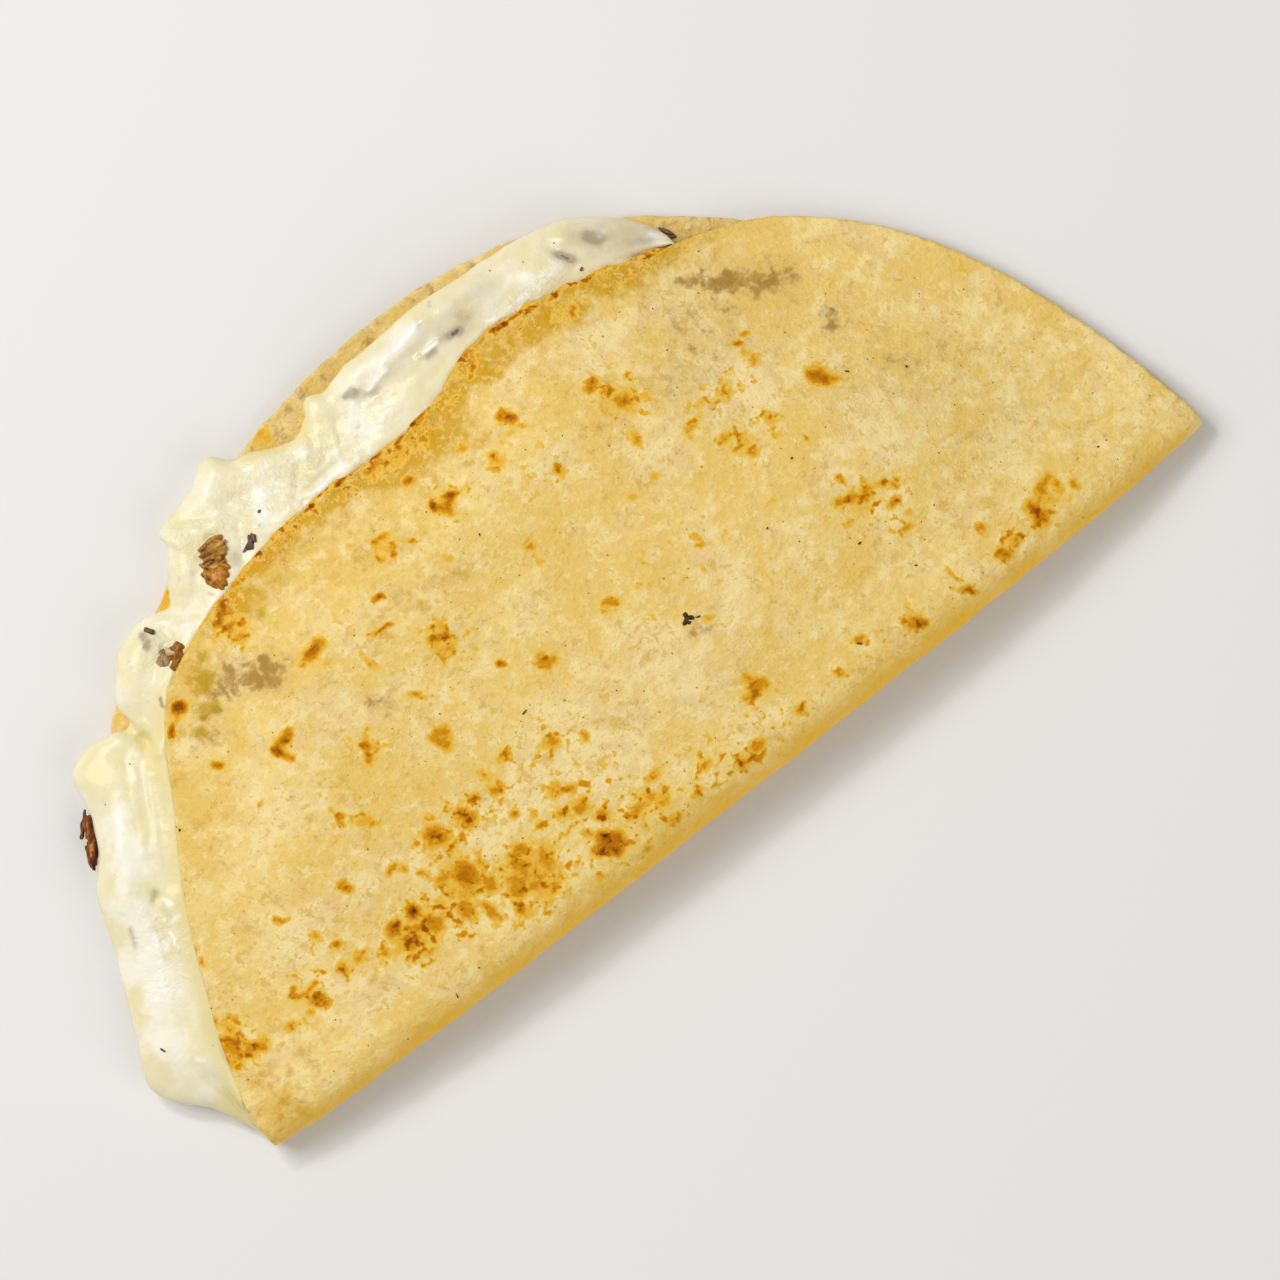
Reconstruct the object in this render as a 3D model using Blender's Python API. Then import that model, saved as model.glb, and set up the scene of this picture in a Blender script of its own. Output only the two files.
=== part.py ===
"""A quesadilla: one flour tortilla folded over melted cheese, with bits of browned meat.

Lengths are millimetres until mesh_object() writes them in metres. The fold runs along X, and the
open, curved side faces +Y. Angles go round the middle of the fold, seen from above: 0 is the right
corner, 90 the middle of the open side and 180 the left corner. The origin is on the flat underside,
FOLD_TO_ORIGIN from the fold, and Z = 0 is the surface that the quesadilla lies on.
"""

import math

import bmesh
import bpy
import numpy as np

MM = 0.001

# Driving sizes
FOLD_HALF = 125.0  # half of the fold, from its middle to a corner
FOLD_TO_ORIGIN = 60.0
FOLD_BOW = 2.2  # how far the fold bows out between its corners
WALL = 2.0  # thickness of the tortilla
GAP = 0.3  # clearance between neighbouring pieces
FOLD_HEIGHT_LEFT = 11.0
FOLD_HEIGHT_MIDDLE = 18.0
FOLD_HEIGHT_RIGHT = 7.0
CROWN = 3.5  # rise of the top flap above the fold
CROWN_RUN = 45.0  # distance from the fold over which it rises
BEND_BLEND = 20.0  # distance from the bend over which rim and waves take hold
WAVE = 0.5  # height of the top flap's shallow waves

# Rims seen from above, as (angle, distance from the middle of the fold)
TOP_RIM = (
    (0, 125.0), (8, 123.3), (20, 122.2), (35, 122.6), (48, 121.2), (58, 116.3),
    (68, 113.0), (80, 110.8), (85, 108.5), (90, 104.6), (95, 103.5), (101, 104.9),
    (111, 110.5), (121, 116.2), (134, 122.8), (146, 119.9), (160, 120.8), (171, 123.7),
    (176, 125.2), (180, 125.0),
)
BOTTOM_RIM = (
    (0, 125.0), (8, 122.4), (20, 120.6), (35, 119.8), (48, 119.6), (55, 120.8),
    (64, 123.2), (72, 125.2), (95, 126.0), (108, 127.2), (124, 128.8), (137, 134.0),
    (147, 134.2), (157, 131.0), (167, 128.4), (175, 126.2), (180, 125.0),
)
# Height of the middle of the top flap's wall at its rim, as (angle, height)
TOP_RIM_LEVEL = (
    (0, 3.7), (42, 3.7), (50, 4.2), (58, 6.4), (66, 9.6), (78, 12.4), (95, 13.2),
    (112, 12.6), (130, 13.2), (150, 12.0), (166, 10.4), (180, 9.6),
)
# Width of the slope down to that rim, as (angle, width)
TOP_RIM_SLOPE = ((0, 50.0), (45, 56.0), (70, 34.0), (100, 26.0), (140, 30.0), (180, 24.0))
BOTTOM_RIM_LIFT = ((0, 0.0), (58, 0.3), (80, 1.2), (98, 1.8), (112, 0.6), (125, 0.0), (180, 0.0))
BOTTOM_LIFT_RUN = 16.0  # width of the bottom flap's border that lifts

# The cheese's front, as (angle, how far it reaches from the middle of the fold, its crest's height)
CHEESE_FRONT = (
    (0, 108.0, 4.0), (50, 106.0, 4.6), (57, 112.0, 5.6), (60, 118.0, 6.6), (64.5, 122.8, 8.6),
    (71, 125.8, 10.2), (76, 124.7, 10.8), (83, 122.8, 11.4), (90, 122.7, 11.8), (97, 122.4, 11.4),
    (101, 122.6, 11.0), (103.8, 119.2, 10.6), (106.5, 123.2, 10.4), (109, 128.6, 9.6),
    (111, 133.3, 8.6), (113.5, 132.2, 9.6), (117.6, 133.6, 10.4), (121, 130.4, 10.8),
    (124.4, 127.6, 10.0), (127, 132.4, 9.8), (130.5, 134.7, 10.4), (133.6, 134.0, 10.2),
    (136.8, 131.4, 9.4), (138.8, 139.0, 8.6), (141.2, 141.4, 9.0), (145, 137.9, 10.8),
    (148, 137.2, 11.2), (152, 138.6, 10.6), (157, 137.5, 9.6), (162.5, 138.4, 9.8),
    (166.5, 139.3, 10.2), (169.2, 140.5, 9.4), (172.3, 134.4, 8.4), (176, 127.6, 7.6),
    (180, 125.0, 6.2),
)
FILLING_INSET = 2.5  # how far behind the top rim the filling's front starts
FILLING_SLACK = 0.4  # extra clearance of the filling between the flaps
LEAST_FRONT = 2.0  # least depth of that front
FRONT_ROLL = 4.5  # half width of its rounded edge
GROUND_GAP = 0.3  # height of the overflowing cheese above the surface
SPILL_DROP = 2.5  # reach past the bottom rim over which the cheese comes down to the surface
SPILL_START = 1.0  # how far past the bottom rim it starts to come down
LEAST_RISE = 1.2  # least height of the crest above the foot
ROLL_SHARE = 0.45  # most of the front's depth that its rounded edge takes
ROLL_POINTS = 7
FOOT_SHARE = 0.25  # where the foot's middle point is, along its depth
TOP_SHARES = (0.35, 0.7)  # where the points between crest and top rim are
SWELL = 0.6  # how far the front's top bulges between them

# Stations round the rim, each a row of faces
RIGHT_CORNER = (2.3, 4.2)
CLOSED_SIDE = tuple(np.linspace(7, 55, 9, endpoint=False))
OPEN_SIDE = tuple(np.linspace(55, 173, 43))
LEFT_CORNER = (175.0, 176.7, 178.0)
FLAP_STRIPS = 22  # strips of faces across the whole tortilla, from rim to rim
FILLING_STRIPS = 12
STRIP_BIAS = 9.0  # distance from the crease within which the strips are narrow


def smooth_step(t):
    """0 below t = 0, 1 above t = 1, and an even S between."""
    t = np.clip(t, 0.0, 1.0)
    return t * t * (3 - 2 * t)


def along(points, at, column=1):
    """The smooth curve through a table's points, which never swings past them."""
    place, value = (np.array([p[i] for p in points], float) for i in (0, column))
    step = np.diff(value) / np.diff(place)
    before, after = step[:-1], step[1:]
    turning = before * after <= 0
    total = np.where(turning, 1.0, before + after)
    slope = np.zeros(len(place))
    slope[1:-1] = np.where(turning, 0.0, 2 * before * after / total)
    i = np.clip(np.searchsorted(place, at) - 1, 0, len(place) - 2)
    width = place[i + 1] - place[i]
    t = np.clip((at - place[i]) / width, 0.0, 1.0)
    ease = smooth_step(t)
    lean = t * (1 - t) * width
    start, end = lean * (1 - t) * slope[i], lean * t * slope[i + 1]
    return value[i] * (1 - ease) + value[i + 1] * ease + start - end


def angle_of(x, y):
    """The angle of a point seen from above, in degrees."""
    return np.degrees(np.arctan2(y, x))


# The fold


def fold_height(x):
    """Height over the tortilla's outside where it bends round the filling."""
    end = np.where(x < 0, FOLD_HEIGHT_LEFT, FOLD_HEIGHT_RIGHT)
    return end + (FOLD_HEIGHT_MIDDLE - end) * (1 - np.abs(x / FOLD_HALF) ** 3)


def bend_radius(x):
    """Radius of the middle of the wall in the bend."""
    return (fold_height(x) - WALL) / 2


def bend_centre(x):
    """Distance in from the straight line between the corners to the middle of the bend."""
    return fold_height(x) / 2 - FOLD_BOW * (1 - (x / FOLD_HALF) ** 4)


def top_flap_height(x, y):
    """Height of the middle of the top flap's wall."""
    level = fold_height(x) - WALL / 2
    depth = np.maximum(y - bend_centre(x), 0.0)
    crown = CROWN * (1 - np.abs(x / FOLD_HALF) ** 3) * smooth_step(depth / CROWN_RUN)
    angle = angle_of(x, y)
    inside = along(TOP_RIM, angle) - np.hypot(x, y)
    hold = smooth_step(depth / BEND_BLEND)
    fall = hold * smooth_step(1 - inside / along(TOP_RIM_SLOPE, angle))
    wave = WAVE * hold * (1 - fall) * (np.sin(x / 13 + y / 29) + np.sin(y / 11 - x / 37))
    return (level + crown + wave) * (1 - fall) + along(TOP_RIM_LEVEL, angle) * fall


def bottom_flap_height(x, y):
    """Height of the middle of the bottom flap's wall, which is flat but for its border."""
    angle = angle_of(x, y)
    inside = along(BOTTOM_RIM, angle) - np.hypot(x, y)
    lift = smooth_step(1 - inside / BOTTOM_LIFT_RUN)
    return WALL / 2 + along(BOTTOM_RIM_LIFT, angle) * lift


def wall_middle(x, s):
    """Point on the middle of the folded wall, from x and the distance s past the crease."""
    radius = bend_radius(x)
    reach = np.abs(s) - radius * math.pi / 2
    turn = np.clip(s / radius, -math.pi / 2, math.pi / 2)
    y = bend_centre(x) - radius * np.cos(turn) + np.maximum(reach, 0.0)
    bend = fold_height(x) / 2 + radius * np.sin(turn)
    flap = np.where(s > 0, top_flap_height(x, y), bottom_flap_height(x, y))
    return np.stack([x, y, np.where(reach > 0, flap, bend)], axis=-1)


def wall_layer(x, s, outward):
    """The layer of the folded wall this far outward from its middle."""
    small = 0.01
    across = wall_middle(x + small, s) - wall_middle(x - small, s)
    over = wall_middle(x, s + small) - wall_middle(x, s - small)
    normal = np.cross(across, over)
    normal /= np.linalg.norm(normal, axis=-1, keepdims=True)
    return wall_middle(x, s) + normal * outward


def unrolled(rim):
    """A rim's table as the flat tortilla has it: (angle, distance) from the middle of the crease."""
    flat = [(0.0, rim[0][1])]
    for angle, radius in rim[1:-1]:
        x = radius * math.cos(math.radians(angle))
        y = radius * math.sin(math.radians(angle))
        centre, bend = float(bend_centre(x)), float(bend_radius(x))
        if y > centre:
            s = y - centre + bend * math.pi / 2
        else:
            s = bend * math.acos((centre - y) / bend)
        flat.append((math.degrees(math.atan2(s, x)), math.hypot(x, s)))
    return flat + [(180.0, rim[-1][1])]


def flat_grid(top, bottom, strips, stations):
    """x and s of a flat disc's grid: a row for each station, from bottom to top rim."""
    share = np.linspace(-1, 1, strips + 1)
    top, bottom = unrolled(top), unrolled(bottom)
    rows_x, rows_s = [], []
    for station in np.radians(stations):
        half = math.sin(station)
        bias = STRIP_BIAS / FOLD_HALF
        b = bias * np.sinh(share * math.asinh(half / bias))
        a = np.full_like(b, math.cos(station))
        angle, rho = angle_of(a, np.abs(b)), np.hypot(a, b)
        rim = np.where(b > 0, along(top, angle), along(bottom, angle))
        radius = FOLD_HALF + (rim - FOLD_HALF) * rho**2
        rows_x.append(radius * a)
        rows_s.append(radius * b)
    return np.array(rows_x), np.array(rows_s)


# Meshes


def mesh_object(name, points, faces, colour, roughness):
    """A smooth-shaded object with its own material, from points in millimetres about the fold."""
    mesh = bpy.data.meshes.new(name)
    mesh.from_pydata((np.array(points) + (0, -FOLD_TO_ORIGIN, 0)) * MM, [], faces)
    tidy = bmesh.new()
    tidy.from_mesh(mesh)
    bmesh.ops.recalc_face_normals(tidy, faces=tidy.faces)
    bmesh.ops.triangulate(tidy, faces=[f for f in tidy.faces if len(f.verts) > 3])
    tidy.to_mesh(mesh)
    tidy.free()
    mesh.shade_smooth()
    mesh.set_sharp_from_angle(angle=math.radians(40))
    material = bpy.data.materials.new(name)
    material.use_nodes = True
    surface = material.node_tree.nodes["Principled BSDF"]
    surface.inputs["Base Color"].default_value = (*colour, 1)
    surface.inputs["Roughness"].default_value = roughness
    mesh.materials.append(material)
    made = bpy.data.objects.new(name, mesh)
    bpy.context.scene.collection.objects.link(made)
    return made


def grid_faces(rows, columns, first=0):
    """Quads of a grid of points numbered row by row."""
    return [
        (first + r * columns + c, first + r * columns + c + 1,
         first + (r + 1) * columns + c + 1, first + (r + 1) * columns + c)
        for r in range(rows - 1) for c in range(columns - 1)
    ]


def grid_border(rows, columns):
    """The numbers of the points round a grid, in order."""
    last = (rows - 1) * columns
    low = [r * columns for r in range(1, rows)]
    high = [r * columns + columns - 1 for r in range(1, rows - 1)]
    return [*range(columns - 1, -1, -1), *low, *range(last + 1, last + columns), *high[::-1]]


def folded_sheet(wall, overhang=0.0):
    """Points and faces of the folded tortilla with this wall, its rims moved out by overhang."""
    top = [(a, r + overhang) for a, r in TOP_RIM]
    bottom = [(a, r + overhang) for a, r in BOTTOM_RIM]
    stations = RIGHT_CORNER + CLOSED_SIDE + OPEN_SIDE + LEFT_CORNER
    x, s = flat_grid(top, bottom, FLAP_STRIPS, stations)
    x = x * (FOLD_HALF + overhang) / FOLD_HALF
    rows, columns = x.shape
    layer = rows * columns
    points = [p for side in (wall / 2, -wall / 2) for p in wall_layer(x, s, side).reshape(-1, 3)]
    faces = grid_faces(rows, columns) + grid_faces(rows, columns, layer)
    rim = grid_border(rows, columns)
    for here, there in zip(rim, rim[1:] + rim[:1]):
        faces.append((here, there, there + layer, here + layer))
    return points, faces


def cheese_section(angle, start, end):
    """The front's points in the upright cut at this angle, from its start below to its end above."""
    reach, crest = along(CHEESE_FRONT, angle), along(CHEESE_FRONT, angle, column=2)
    out = np.array([math.cos(math.radians(angle)), math.sin(math.radians(angle)), 0])
    start_r, end_r = np.hypot(*start[:2]), np.hypot(*end[:2])
    over = smooth_step((reach - along(BOTTOM_RIM, angle) - SPILL_START) / SPILL_DROP)
    foot = start[2] * (1 - over) + GROUND_GAP * over
    crest = max(crest, foot + LEAST_RISE)
    roll = min(FRONT_ROLL, (reach - end_r) * ROLL_SHARE)
    middle, half = (foot + crest) / 2, (crest - foot) / 2
    cut = [(start_r + (reach - roll - start_r) * FOOT_SHARE, foot)]
    for turn in np.radians(np.linspace(-90, 90, ROLL_POINTS)):
        cut.append((reach - roll + roll * math.cos(turn), middle + half * math.sin(turn)))
    top_run = reach - roll - end_r
    for share in TOP_SHARES:
        swell = SWELL * math.sin(math.pi * share)
        cut.append((reach - roll - top_run * share, crest + (end[2] - crest) * share + swell))
    return [out * r + np.array([0, 0, z]) for r, z in cut]


def filling_rim():
    """Where the filling's front starts between the flaps, as a rim's table."""
    angles = np.linspace(0, 180, 61)
    under_top, behind_front = along(TOP_RIM, angles) - FILLING_INSET, along(CHEESE_FRONT, angles)
    return list(zip(angles, np.minimum(under_top, behind_front - LEAST_FRONT)))


def filling_body():
    """Points and faces of the cheese between the flaps and of its front, not cut yet."""
    rim = filling_rim()
    x, s = flat_grid(rim, rim, FILLING_STRIPS, CLOSED_SIDE + OPEN_SIDE + LEFT_CORNER)
    layer = -(WALL / 2 + GAP + FILLING_SLACK)
    cuts = []
    for between in wall_layer(x, s, layer):
        angle = angle_of(*between[-1][:2])
        cuts.append([*between, *cheese_section(angle, between[0], between[-1])[::-1]])
    count = len(cuts[0])
    points = [p for cut in cuts for p in cut]
    faces = []
    for row in range(len(cuts) - 1):
        for i in range(count):
            here, there = row * count + i, row * count + (i + 1) % count
            faces.append((here, there, there + count, here + count))
    for row in (0, len(cuts) - 1):
        points.append(np.mean(cuts[row], axis=0))
        ends = [(row * count + i, row * count + (i + 1) % count) for i in range(count)]
        faces += [(here, there, len(points) - 1) for here, there in ends]
    return points, faces


def lump(centre, size, turn, grow=0.0, rough=0.13, segments=14, rings=9):
    """Points and faces of an uneven lump of meat: an egg with shallow furrows, turned about Z."""
    half = np.array(size) / 2 + grow
    points = []
    for ring in range(1, rings):
        tilt = math.pi * ring / rings
        for segment in range(segments):
            round_ = 2 * math.pi * segment / segments
            ball = np.array([
                math.sin(tilt) * math.cos(round_), math.sin(tilt) * math.sin(round_), math.cos(tilt)])
            furrow = math.sin(3 * round_ + 2 * tilt) + 0.6 * math.sin(5 * round_ - 3 * tilt + 1)
            points.append(ball * half * (1 + rough * furrow * math.sin(tilt)))
    points += [np.array([0, 0, half[2]]), np.array([0, 0, -half[2]])]
    faces = []
    for ring in range(rings - 1):
        for segment in range(segments):
            beside = (segment + 1) % segments
            here, there = ring * segments + segment, ring * segments + beside
            if ring == 0:
                faces.append((len(points) - 2, here, there))
            if ring < rings - 2:
                faces.append((here, here + segments, there + segments, there))
            else:
                faces.append((here, len(points) - 1, there))
    c, n = math.cos(math.radians(turn)), math.sin(math.radians(turn))
    spin = np.array([[c, -n, 0], [n, c, 0], [0, 0, 1]])
    return [spin @ p + np.array(centre) for p in points], faces


# The pieces

MEAT_CHUNK = {"centre": (-59.0, 105.6, 10.4), "size": (14.0, 8.0, 7.0), "turn": 52}
BROWNED_STRIP = {"centre": (-113.6, 76.8, 5.2), "size": (15.0, 8.0, 4.6), "turn": 57}
CHEESE_COLOUR = (0.87, 0.77, 0.50)
TORTILLA_COLOUR = (0.80, 0.59, 0.21)
MEAT_COLOUR = (0.41, 0.18, 0.03)
STRIP_COLOUR = (0.19, 0.06, 0.02)


def cutter(name, points, faces):
    """A hidden helper that cuts its clearance from the filling."""
    made = mesh_object(name, points, faces, CHEESE_COLOUR, 0.5)
    made.hide_render = True
    made.display_type = "WIRE"
    return made


def build_tortilla():
    """The tortilla, folded in two."""
    mesh_object("tortilla", *folded_sheet(WALL), TORTILLA_COLOUR, 0.6)


def build_filling():
    """The melted cheese, cut round the tortilla and the meat in it."""
    filling = mesh_object("cheese_filling", *filling_body(), CHEESE_COLOUR, 0.3)
    helpers = (
        cutter("tortilla_clearance", *folded_sheet(WALL + 2 * GAP, overhang=GAP)),
        cutter("chunk_clearance", *lump(**MEAT_CHUNK, grow=GAP)),
        cutter("strip_clearance", *lump(**BROWNED_STRIP, grow=GAP)),
    )
    for helper in helpers:
        cut = filling.modifiers.new(helper.name, "BOOLEAN")
        cut.operation = "DIFFERENCE"
        cut.solver = "EXACT"
        cut.object = helper


def build_meat():
    """The pieces of meat that show at the cheese's front."""
    mesh_object("meat_chunk", *lump(**MEAT_CHUNK), MEAT_COLOUR, 0.55)
    mesh_object("browned_strip", *lump(**BROWNED_STRIP), STRIP_COLOUR, 0.4)


def clear_scene():
    """Removes what the scene holds."""
    for old in list(bpy.data.objects):
        bpy.data.objects.remove(old)


def main():
    """Builds the quesadilla's pieces."""
    clear_scene()
    build_tortilla()
    build_filling()
    build_meat()


if __name__ == "__main__":
    main()
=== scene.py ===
"""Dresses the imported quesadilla: toasted tortilla, melted cheese, meat, mushroom and crumbs.

Lengths are millimetres about the middle of the fold until they reach Blender, which gets metres in
the frame's axes: the fold runs along X, the curved open side faces +Y and +Z is up. Angles go round
the middle of the fold, seen from above: 0 is the right corner and 180 the left one.
"""

from __future__ import annotations

import logging
import math
from dataclasses import dataclass
from enum import Enum
from functools import reduce

import bmesh
import bpy
import numpy as np
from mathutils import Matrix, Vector
from mathutils.bvhtree import BVHTree

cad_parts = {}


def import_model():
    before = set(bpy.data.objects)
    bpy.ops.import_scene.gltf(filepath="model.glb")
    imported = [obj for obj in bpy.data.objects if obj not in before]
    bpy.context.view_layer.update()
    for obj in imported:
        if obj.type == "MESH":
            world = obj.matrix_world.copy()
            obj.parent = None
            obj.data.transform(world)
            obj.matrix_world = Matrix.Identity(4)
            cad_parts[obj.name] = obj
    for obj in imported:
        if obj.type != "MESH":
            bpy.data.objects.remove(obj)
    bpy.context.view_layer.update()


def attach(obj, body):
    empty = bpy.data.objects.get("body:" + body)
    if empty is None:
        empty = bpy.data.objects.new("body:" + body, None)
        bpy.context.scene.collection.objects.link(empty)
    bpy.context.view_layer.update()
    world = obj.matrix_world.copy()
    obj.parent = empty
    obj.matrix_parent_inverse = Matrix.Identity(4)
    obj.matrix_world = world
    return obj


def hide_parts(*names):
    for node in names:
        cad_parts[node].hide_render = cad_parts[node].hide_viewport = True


MM = 0.001
FOLD_TO_ORIGIN = 60.0
Array = np.ndarray
Colour = tuple[float, float, float]
Face = tuple[int, ...]
log = logging.getLogger("quesadilla")


# Curves and noise


def smooth_step(t: Array | float) -> Array:
    """Rises in an even S from 0 at t = 0 to 1 at t = 1, and is held beyond them."""
    t = np.clip(t, 0.0, 1.0)
    return t * t * (3 - 2 * t)


def near(distance: Array, reach: Array | float) -> Array:
    """Falls softly from 1 at no distance to 0 well past this reach."""
    return np.exp(-((distance / reach) ** 2))


def polar(x: Array, y: Array) -> tuple[Array, Array]:
    """Turns places into angles round the fold's middle, in degrees, and distances from it."""
    return np.degrees(np.arctan2(y, x)), np.hypot(x, y)


@dataclass(frozen=True)
class SmoothCurve:
    """A smooth curve through a few points, which never swings past them."""

    points: tuple[tuple[float, float], ...]

    @classmethod
    def through(cls, places: Array, values: Array) -> SmoothCurve:
        """Draws the curve through a value at each place."""
        return cls(tuple(zip(places.tolist(), values.tolist())))

    def at(self, place: Array | float) -> Array:
        """Reads the curve.

        Args:
            place: Where to read it, held to its first and last point.

        Returns:
            The curve's value at each place.
        """
        where, value = np.array(self.points, float).T
        step = np.diff(value) / np.diff(where)
        before, after = step[:-1], step[1:]
        turning = before * after <= 0
        total = np.where(turning, 1.0, before + after)
        slope = np.zeros(len(where))
        slope[1:-1] = np.where(turning, 0.0, 2 * before * after / total)
        i = np.clip(np.searchsorted(where, place) - 1, 0, len(where) - 2)
        width = where[i + 1] - where[i]
        t = np.clip((place - where[i]) / width, 0.0, 1.0)
        ease, lean = smooth_step(t), t * (1 - t) * width
        ends = lean * (1 - t) * slope[i] - lean * t * slope[i + 1]
        return value[i] * (1 - ease) + value[i + 1] * ease + ends


@dataclass(frozen=True)
class Span:
    """A stretch of a scale, which fades in at its low end and out at its high end."""

    low: float
    high: float
    fade_in: float
    fade_out: float

    def over(self, place: Array) -> Array:
        """Says how far in the stretch a place is, from 0 to 1."""
        risen = smooth_step((place - self.low) / self.fade_in)
        return risen * smooth_step((self.high - place) / self.fade_out)


@dataclass(frozen=True)
class SmoothNoise:
    """Soft random swells in space, about size apart, from -1 to 1."""

    size: float
    seed: int
    octaves: int = 1

    def at(self, points: Array) -> Array:
        """Reads the noise.

        Args:
            points: Places, with two or three coordinates along the last axis.

        Returns:
            One value for each place.
        """
        if points.shape[-1] == 2:
            points = np.concatenate([points, np.zeros((*points.shape[:-1], 1))], axis=-1)
        total, weight = np.zeros(points.shape[:-1]), 0.0
        for octave in range(self.octaves):
            total += self._single(points * 2**octave / self.size, self.seed + octave) / 2**octave
            weight += 1 / 2**octave
        return total / weight

    @staticmethod
    def _single(points: Array, seed: int) -> Array:
        """Blends random values at the corners of unit cells.

        Args:
            points: Places in cells.
            seed: Picks the random values.

        Returns:
            One octave of noise.
        """
        cell = np.floor(points).astype(np.int64)
        t = smooth_step(points - cell)
        total = np.zeros(points.shape[:-1])
        for corner in range(8):
            step = np.array([corner & 1, corner >> 1 & 1, corner >> 2 & 1])
            weight = np.prod(np.where(step, t, 1 - t), axis=-1)
            x, y, z = np.moveaxis((cell + step).astype(np.uint64), -1, 0)
            mixed = x * np.uint64(73856093) ^ y * np.uint64(19349663) ^ z * np.uint64(83492791)
            mixed = (mixed ^ np.uint64(seed * 2654435761)) * np.uint64(0x9E3779B97F4A7C15)
            mixed = (mixed ^ (mixed >> np.uint64(29))) * np.uint64(0xBF58476D1CE4E5B9)
            total += weight * ((mixed >> np.uint64(40)).astype(float) / 2**23 - 1)
        return total


@dataclass(frozen=True)
class Patch:
    """A soft oval area seen from above, such as a browned spot."""

    x: float
    y: float
    width: float
    height: float
    amount: float

    def over(self, x: Array, y: Array) -> Array:
        """Gives the patch's amount at its middle, falling softly to 0 outside it."""
        across, up = 2 * (x - self.x) / self.width, 2 * (y - self.y) / self.height
        return self.amount * np.exp(-0.75 * (across**2 + up**2))


@dataclass(frozen=True)
class Stroke:
    """A soft line seen from above, such as a long mark, or a ridge or a groove in the relief."""

    x0: float
    y0: float
    x1: float
    y1: float
    width: float
    amount: float

    def over(self, x: Array, y: Array) -> Array:
        """Finds how strong the line is.

        Args:
            x: Places along the fold.
            y: Places away from it.

        Returns:
            The stroke's amount along its middle, falling softly to 0 beside it.
        """
        run_x, run_y = self.x1 - self.x0, self.y1 - self.y0
        length = max(run_x**2 + run_y**2, 1e-9)
        t = np.clip(((x - self.x0) * run_x + (y - self.y0) * run_y) / length, 0.0, 1.0)
        return self.amount * near(np.hypot(x - self.x0 - t * run_x, y - self.y0 - t * run_y), self.width)


Marks = tuple[Patch | Stroke, ...]


def patches(*rows: tuple[float, ...]) -> Marks:
    """Makes patches from rows of x, y, width, height and amount."""
    return tuple(Patch(*row) for row in rows)


def strokes(*rows: tuple[float, ...]) -> Marks:
    """Makes strokes from rows of x0, y0, x1, y1, width and amount."""
    return tuple(Stroke(*row) for row in rows)


def strongest(marks: Marks, x: Array, y: Array) -> Array:
    """Gives the strongest mark's amount at each place, and never less than 0."""
    return reduce(np.maximum, (mark.over(x, y) for mark in marks), np.zeros_like(x))


def together(marks: Marks, x: Array, y: Array) -> Array:
    """Gives the sum of all the marks' amounts at each place."""
    return sum(mark.over(x, y) for mark in marks)


# Shaders


class Nodes:
    """A node tree whose nodes are written as Python expressions."""

    def __init__(self, tree: bpy.types.NodeTree) -> None:
        """Keeps the tree that nodes are added to."""
        self.tree = tree

    def node(
        self, kind: str, settings: dict[str, object], inputs: dict[str | int, object], output: str | int = 0
    ) -> Socket:
        """Adds any node.

        Args:
            kind: The node's type.
            settings: Its own settings, such as a Math node's operation.
            inputs: Values or sockets for its inputs, by name or number.
            output: The name or number of the output to return.

        Returns:
            That output.
        """
        made = self.tree.nodes.new(kind)
        for key, value in settings.items():
            setattr(made, key, value)
        for key, value in inputs.items():
            self.feed(made.inputs[key], value)
        return Socket(self, made.outputs[output])

    def feed(self, target: bpy.types.NodeSocket, value: object) -> None:
        """Links a socket to an input, or sets a number or colour on it.

        Args:
            target: The input.
            value: What it gets.
        """
        if isinstance(value, Socket):
            self.tree.links.new(value.output, target)
        elif isinstance(value, tuple) and target.type == "RGBA":
            target.default_value = (*value, 1.0)
        else:
            target.default_value = value


class Socket:
    """A value in a tree of nodes. Sums on it add Math nodes."""

    def __init__(self, nodes: Nodes, output: bpy.types.NodeSocket) -> None:
        """Wraps a node's output."""
        self.nodes, self.output = nodes, output

    def beside(self, name: str) -> Socket:
        """Picks another output of the same node."""
        return Socket(self.nodes, self.output.node.outputs[name])

    def _math(self, operation: str, *values: Socket | float) -> Socket:
        """Adds a Math node on these values."""
        return self.nodes.node("ShaderNodeMath", {"operation": operation}, dict(enumerate(values)))

    def __add__(self, other: Socket | float) -> Socket:
        """self + other."""
        return self._math("ADD", self, other)

    def __mul__(self, other: Socket | float) -> Socket:
        """self * other."""
        return self._math("MULTIPLY", self, other)

    def __sub__(self, other: Socket | float) -> Socket:
        """self - other."""
        return self._math("SUBTRACT", self, other)

    def __rsub__(self, other: float) -> Socket:
        """other - self."""
        return self._math("SUBTRACT", other, self)

    __radd__ = __add__
    __rmul__ = __mul__

    def rise(self, low: float, high: float) -> Socket:
        """Turns the value into a smooth rise from 0 at low to 1 at high."""
        inputs = {"Value": self, "From Min": low, "From Max": high}
        return self.nodes.node("ShaderNodeMapRange", {"interpolation_type": "SMOOTHSTEP"}, inputs)


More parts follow.
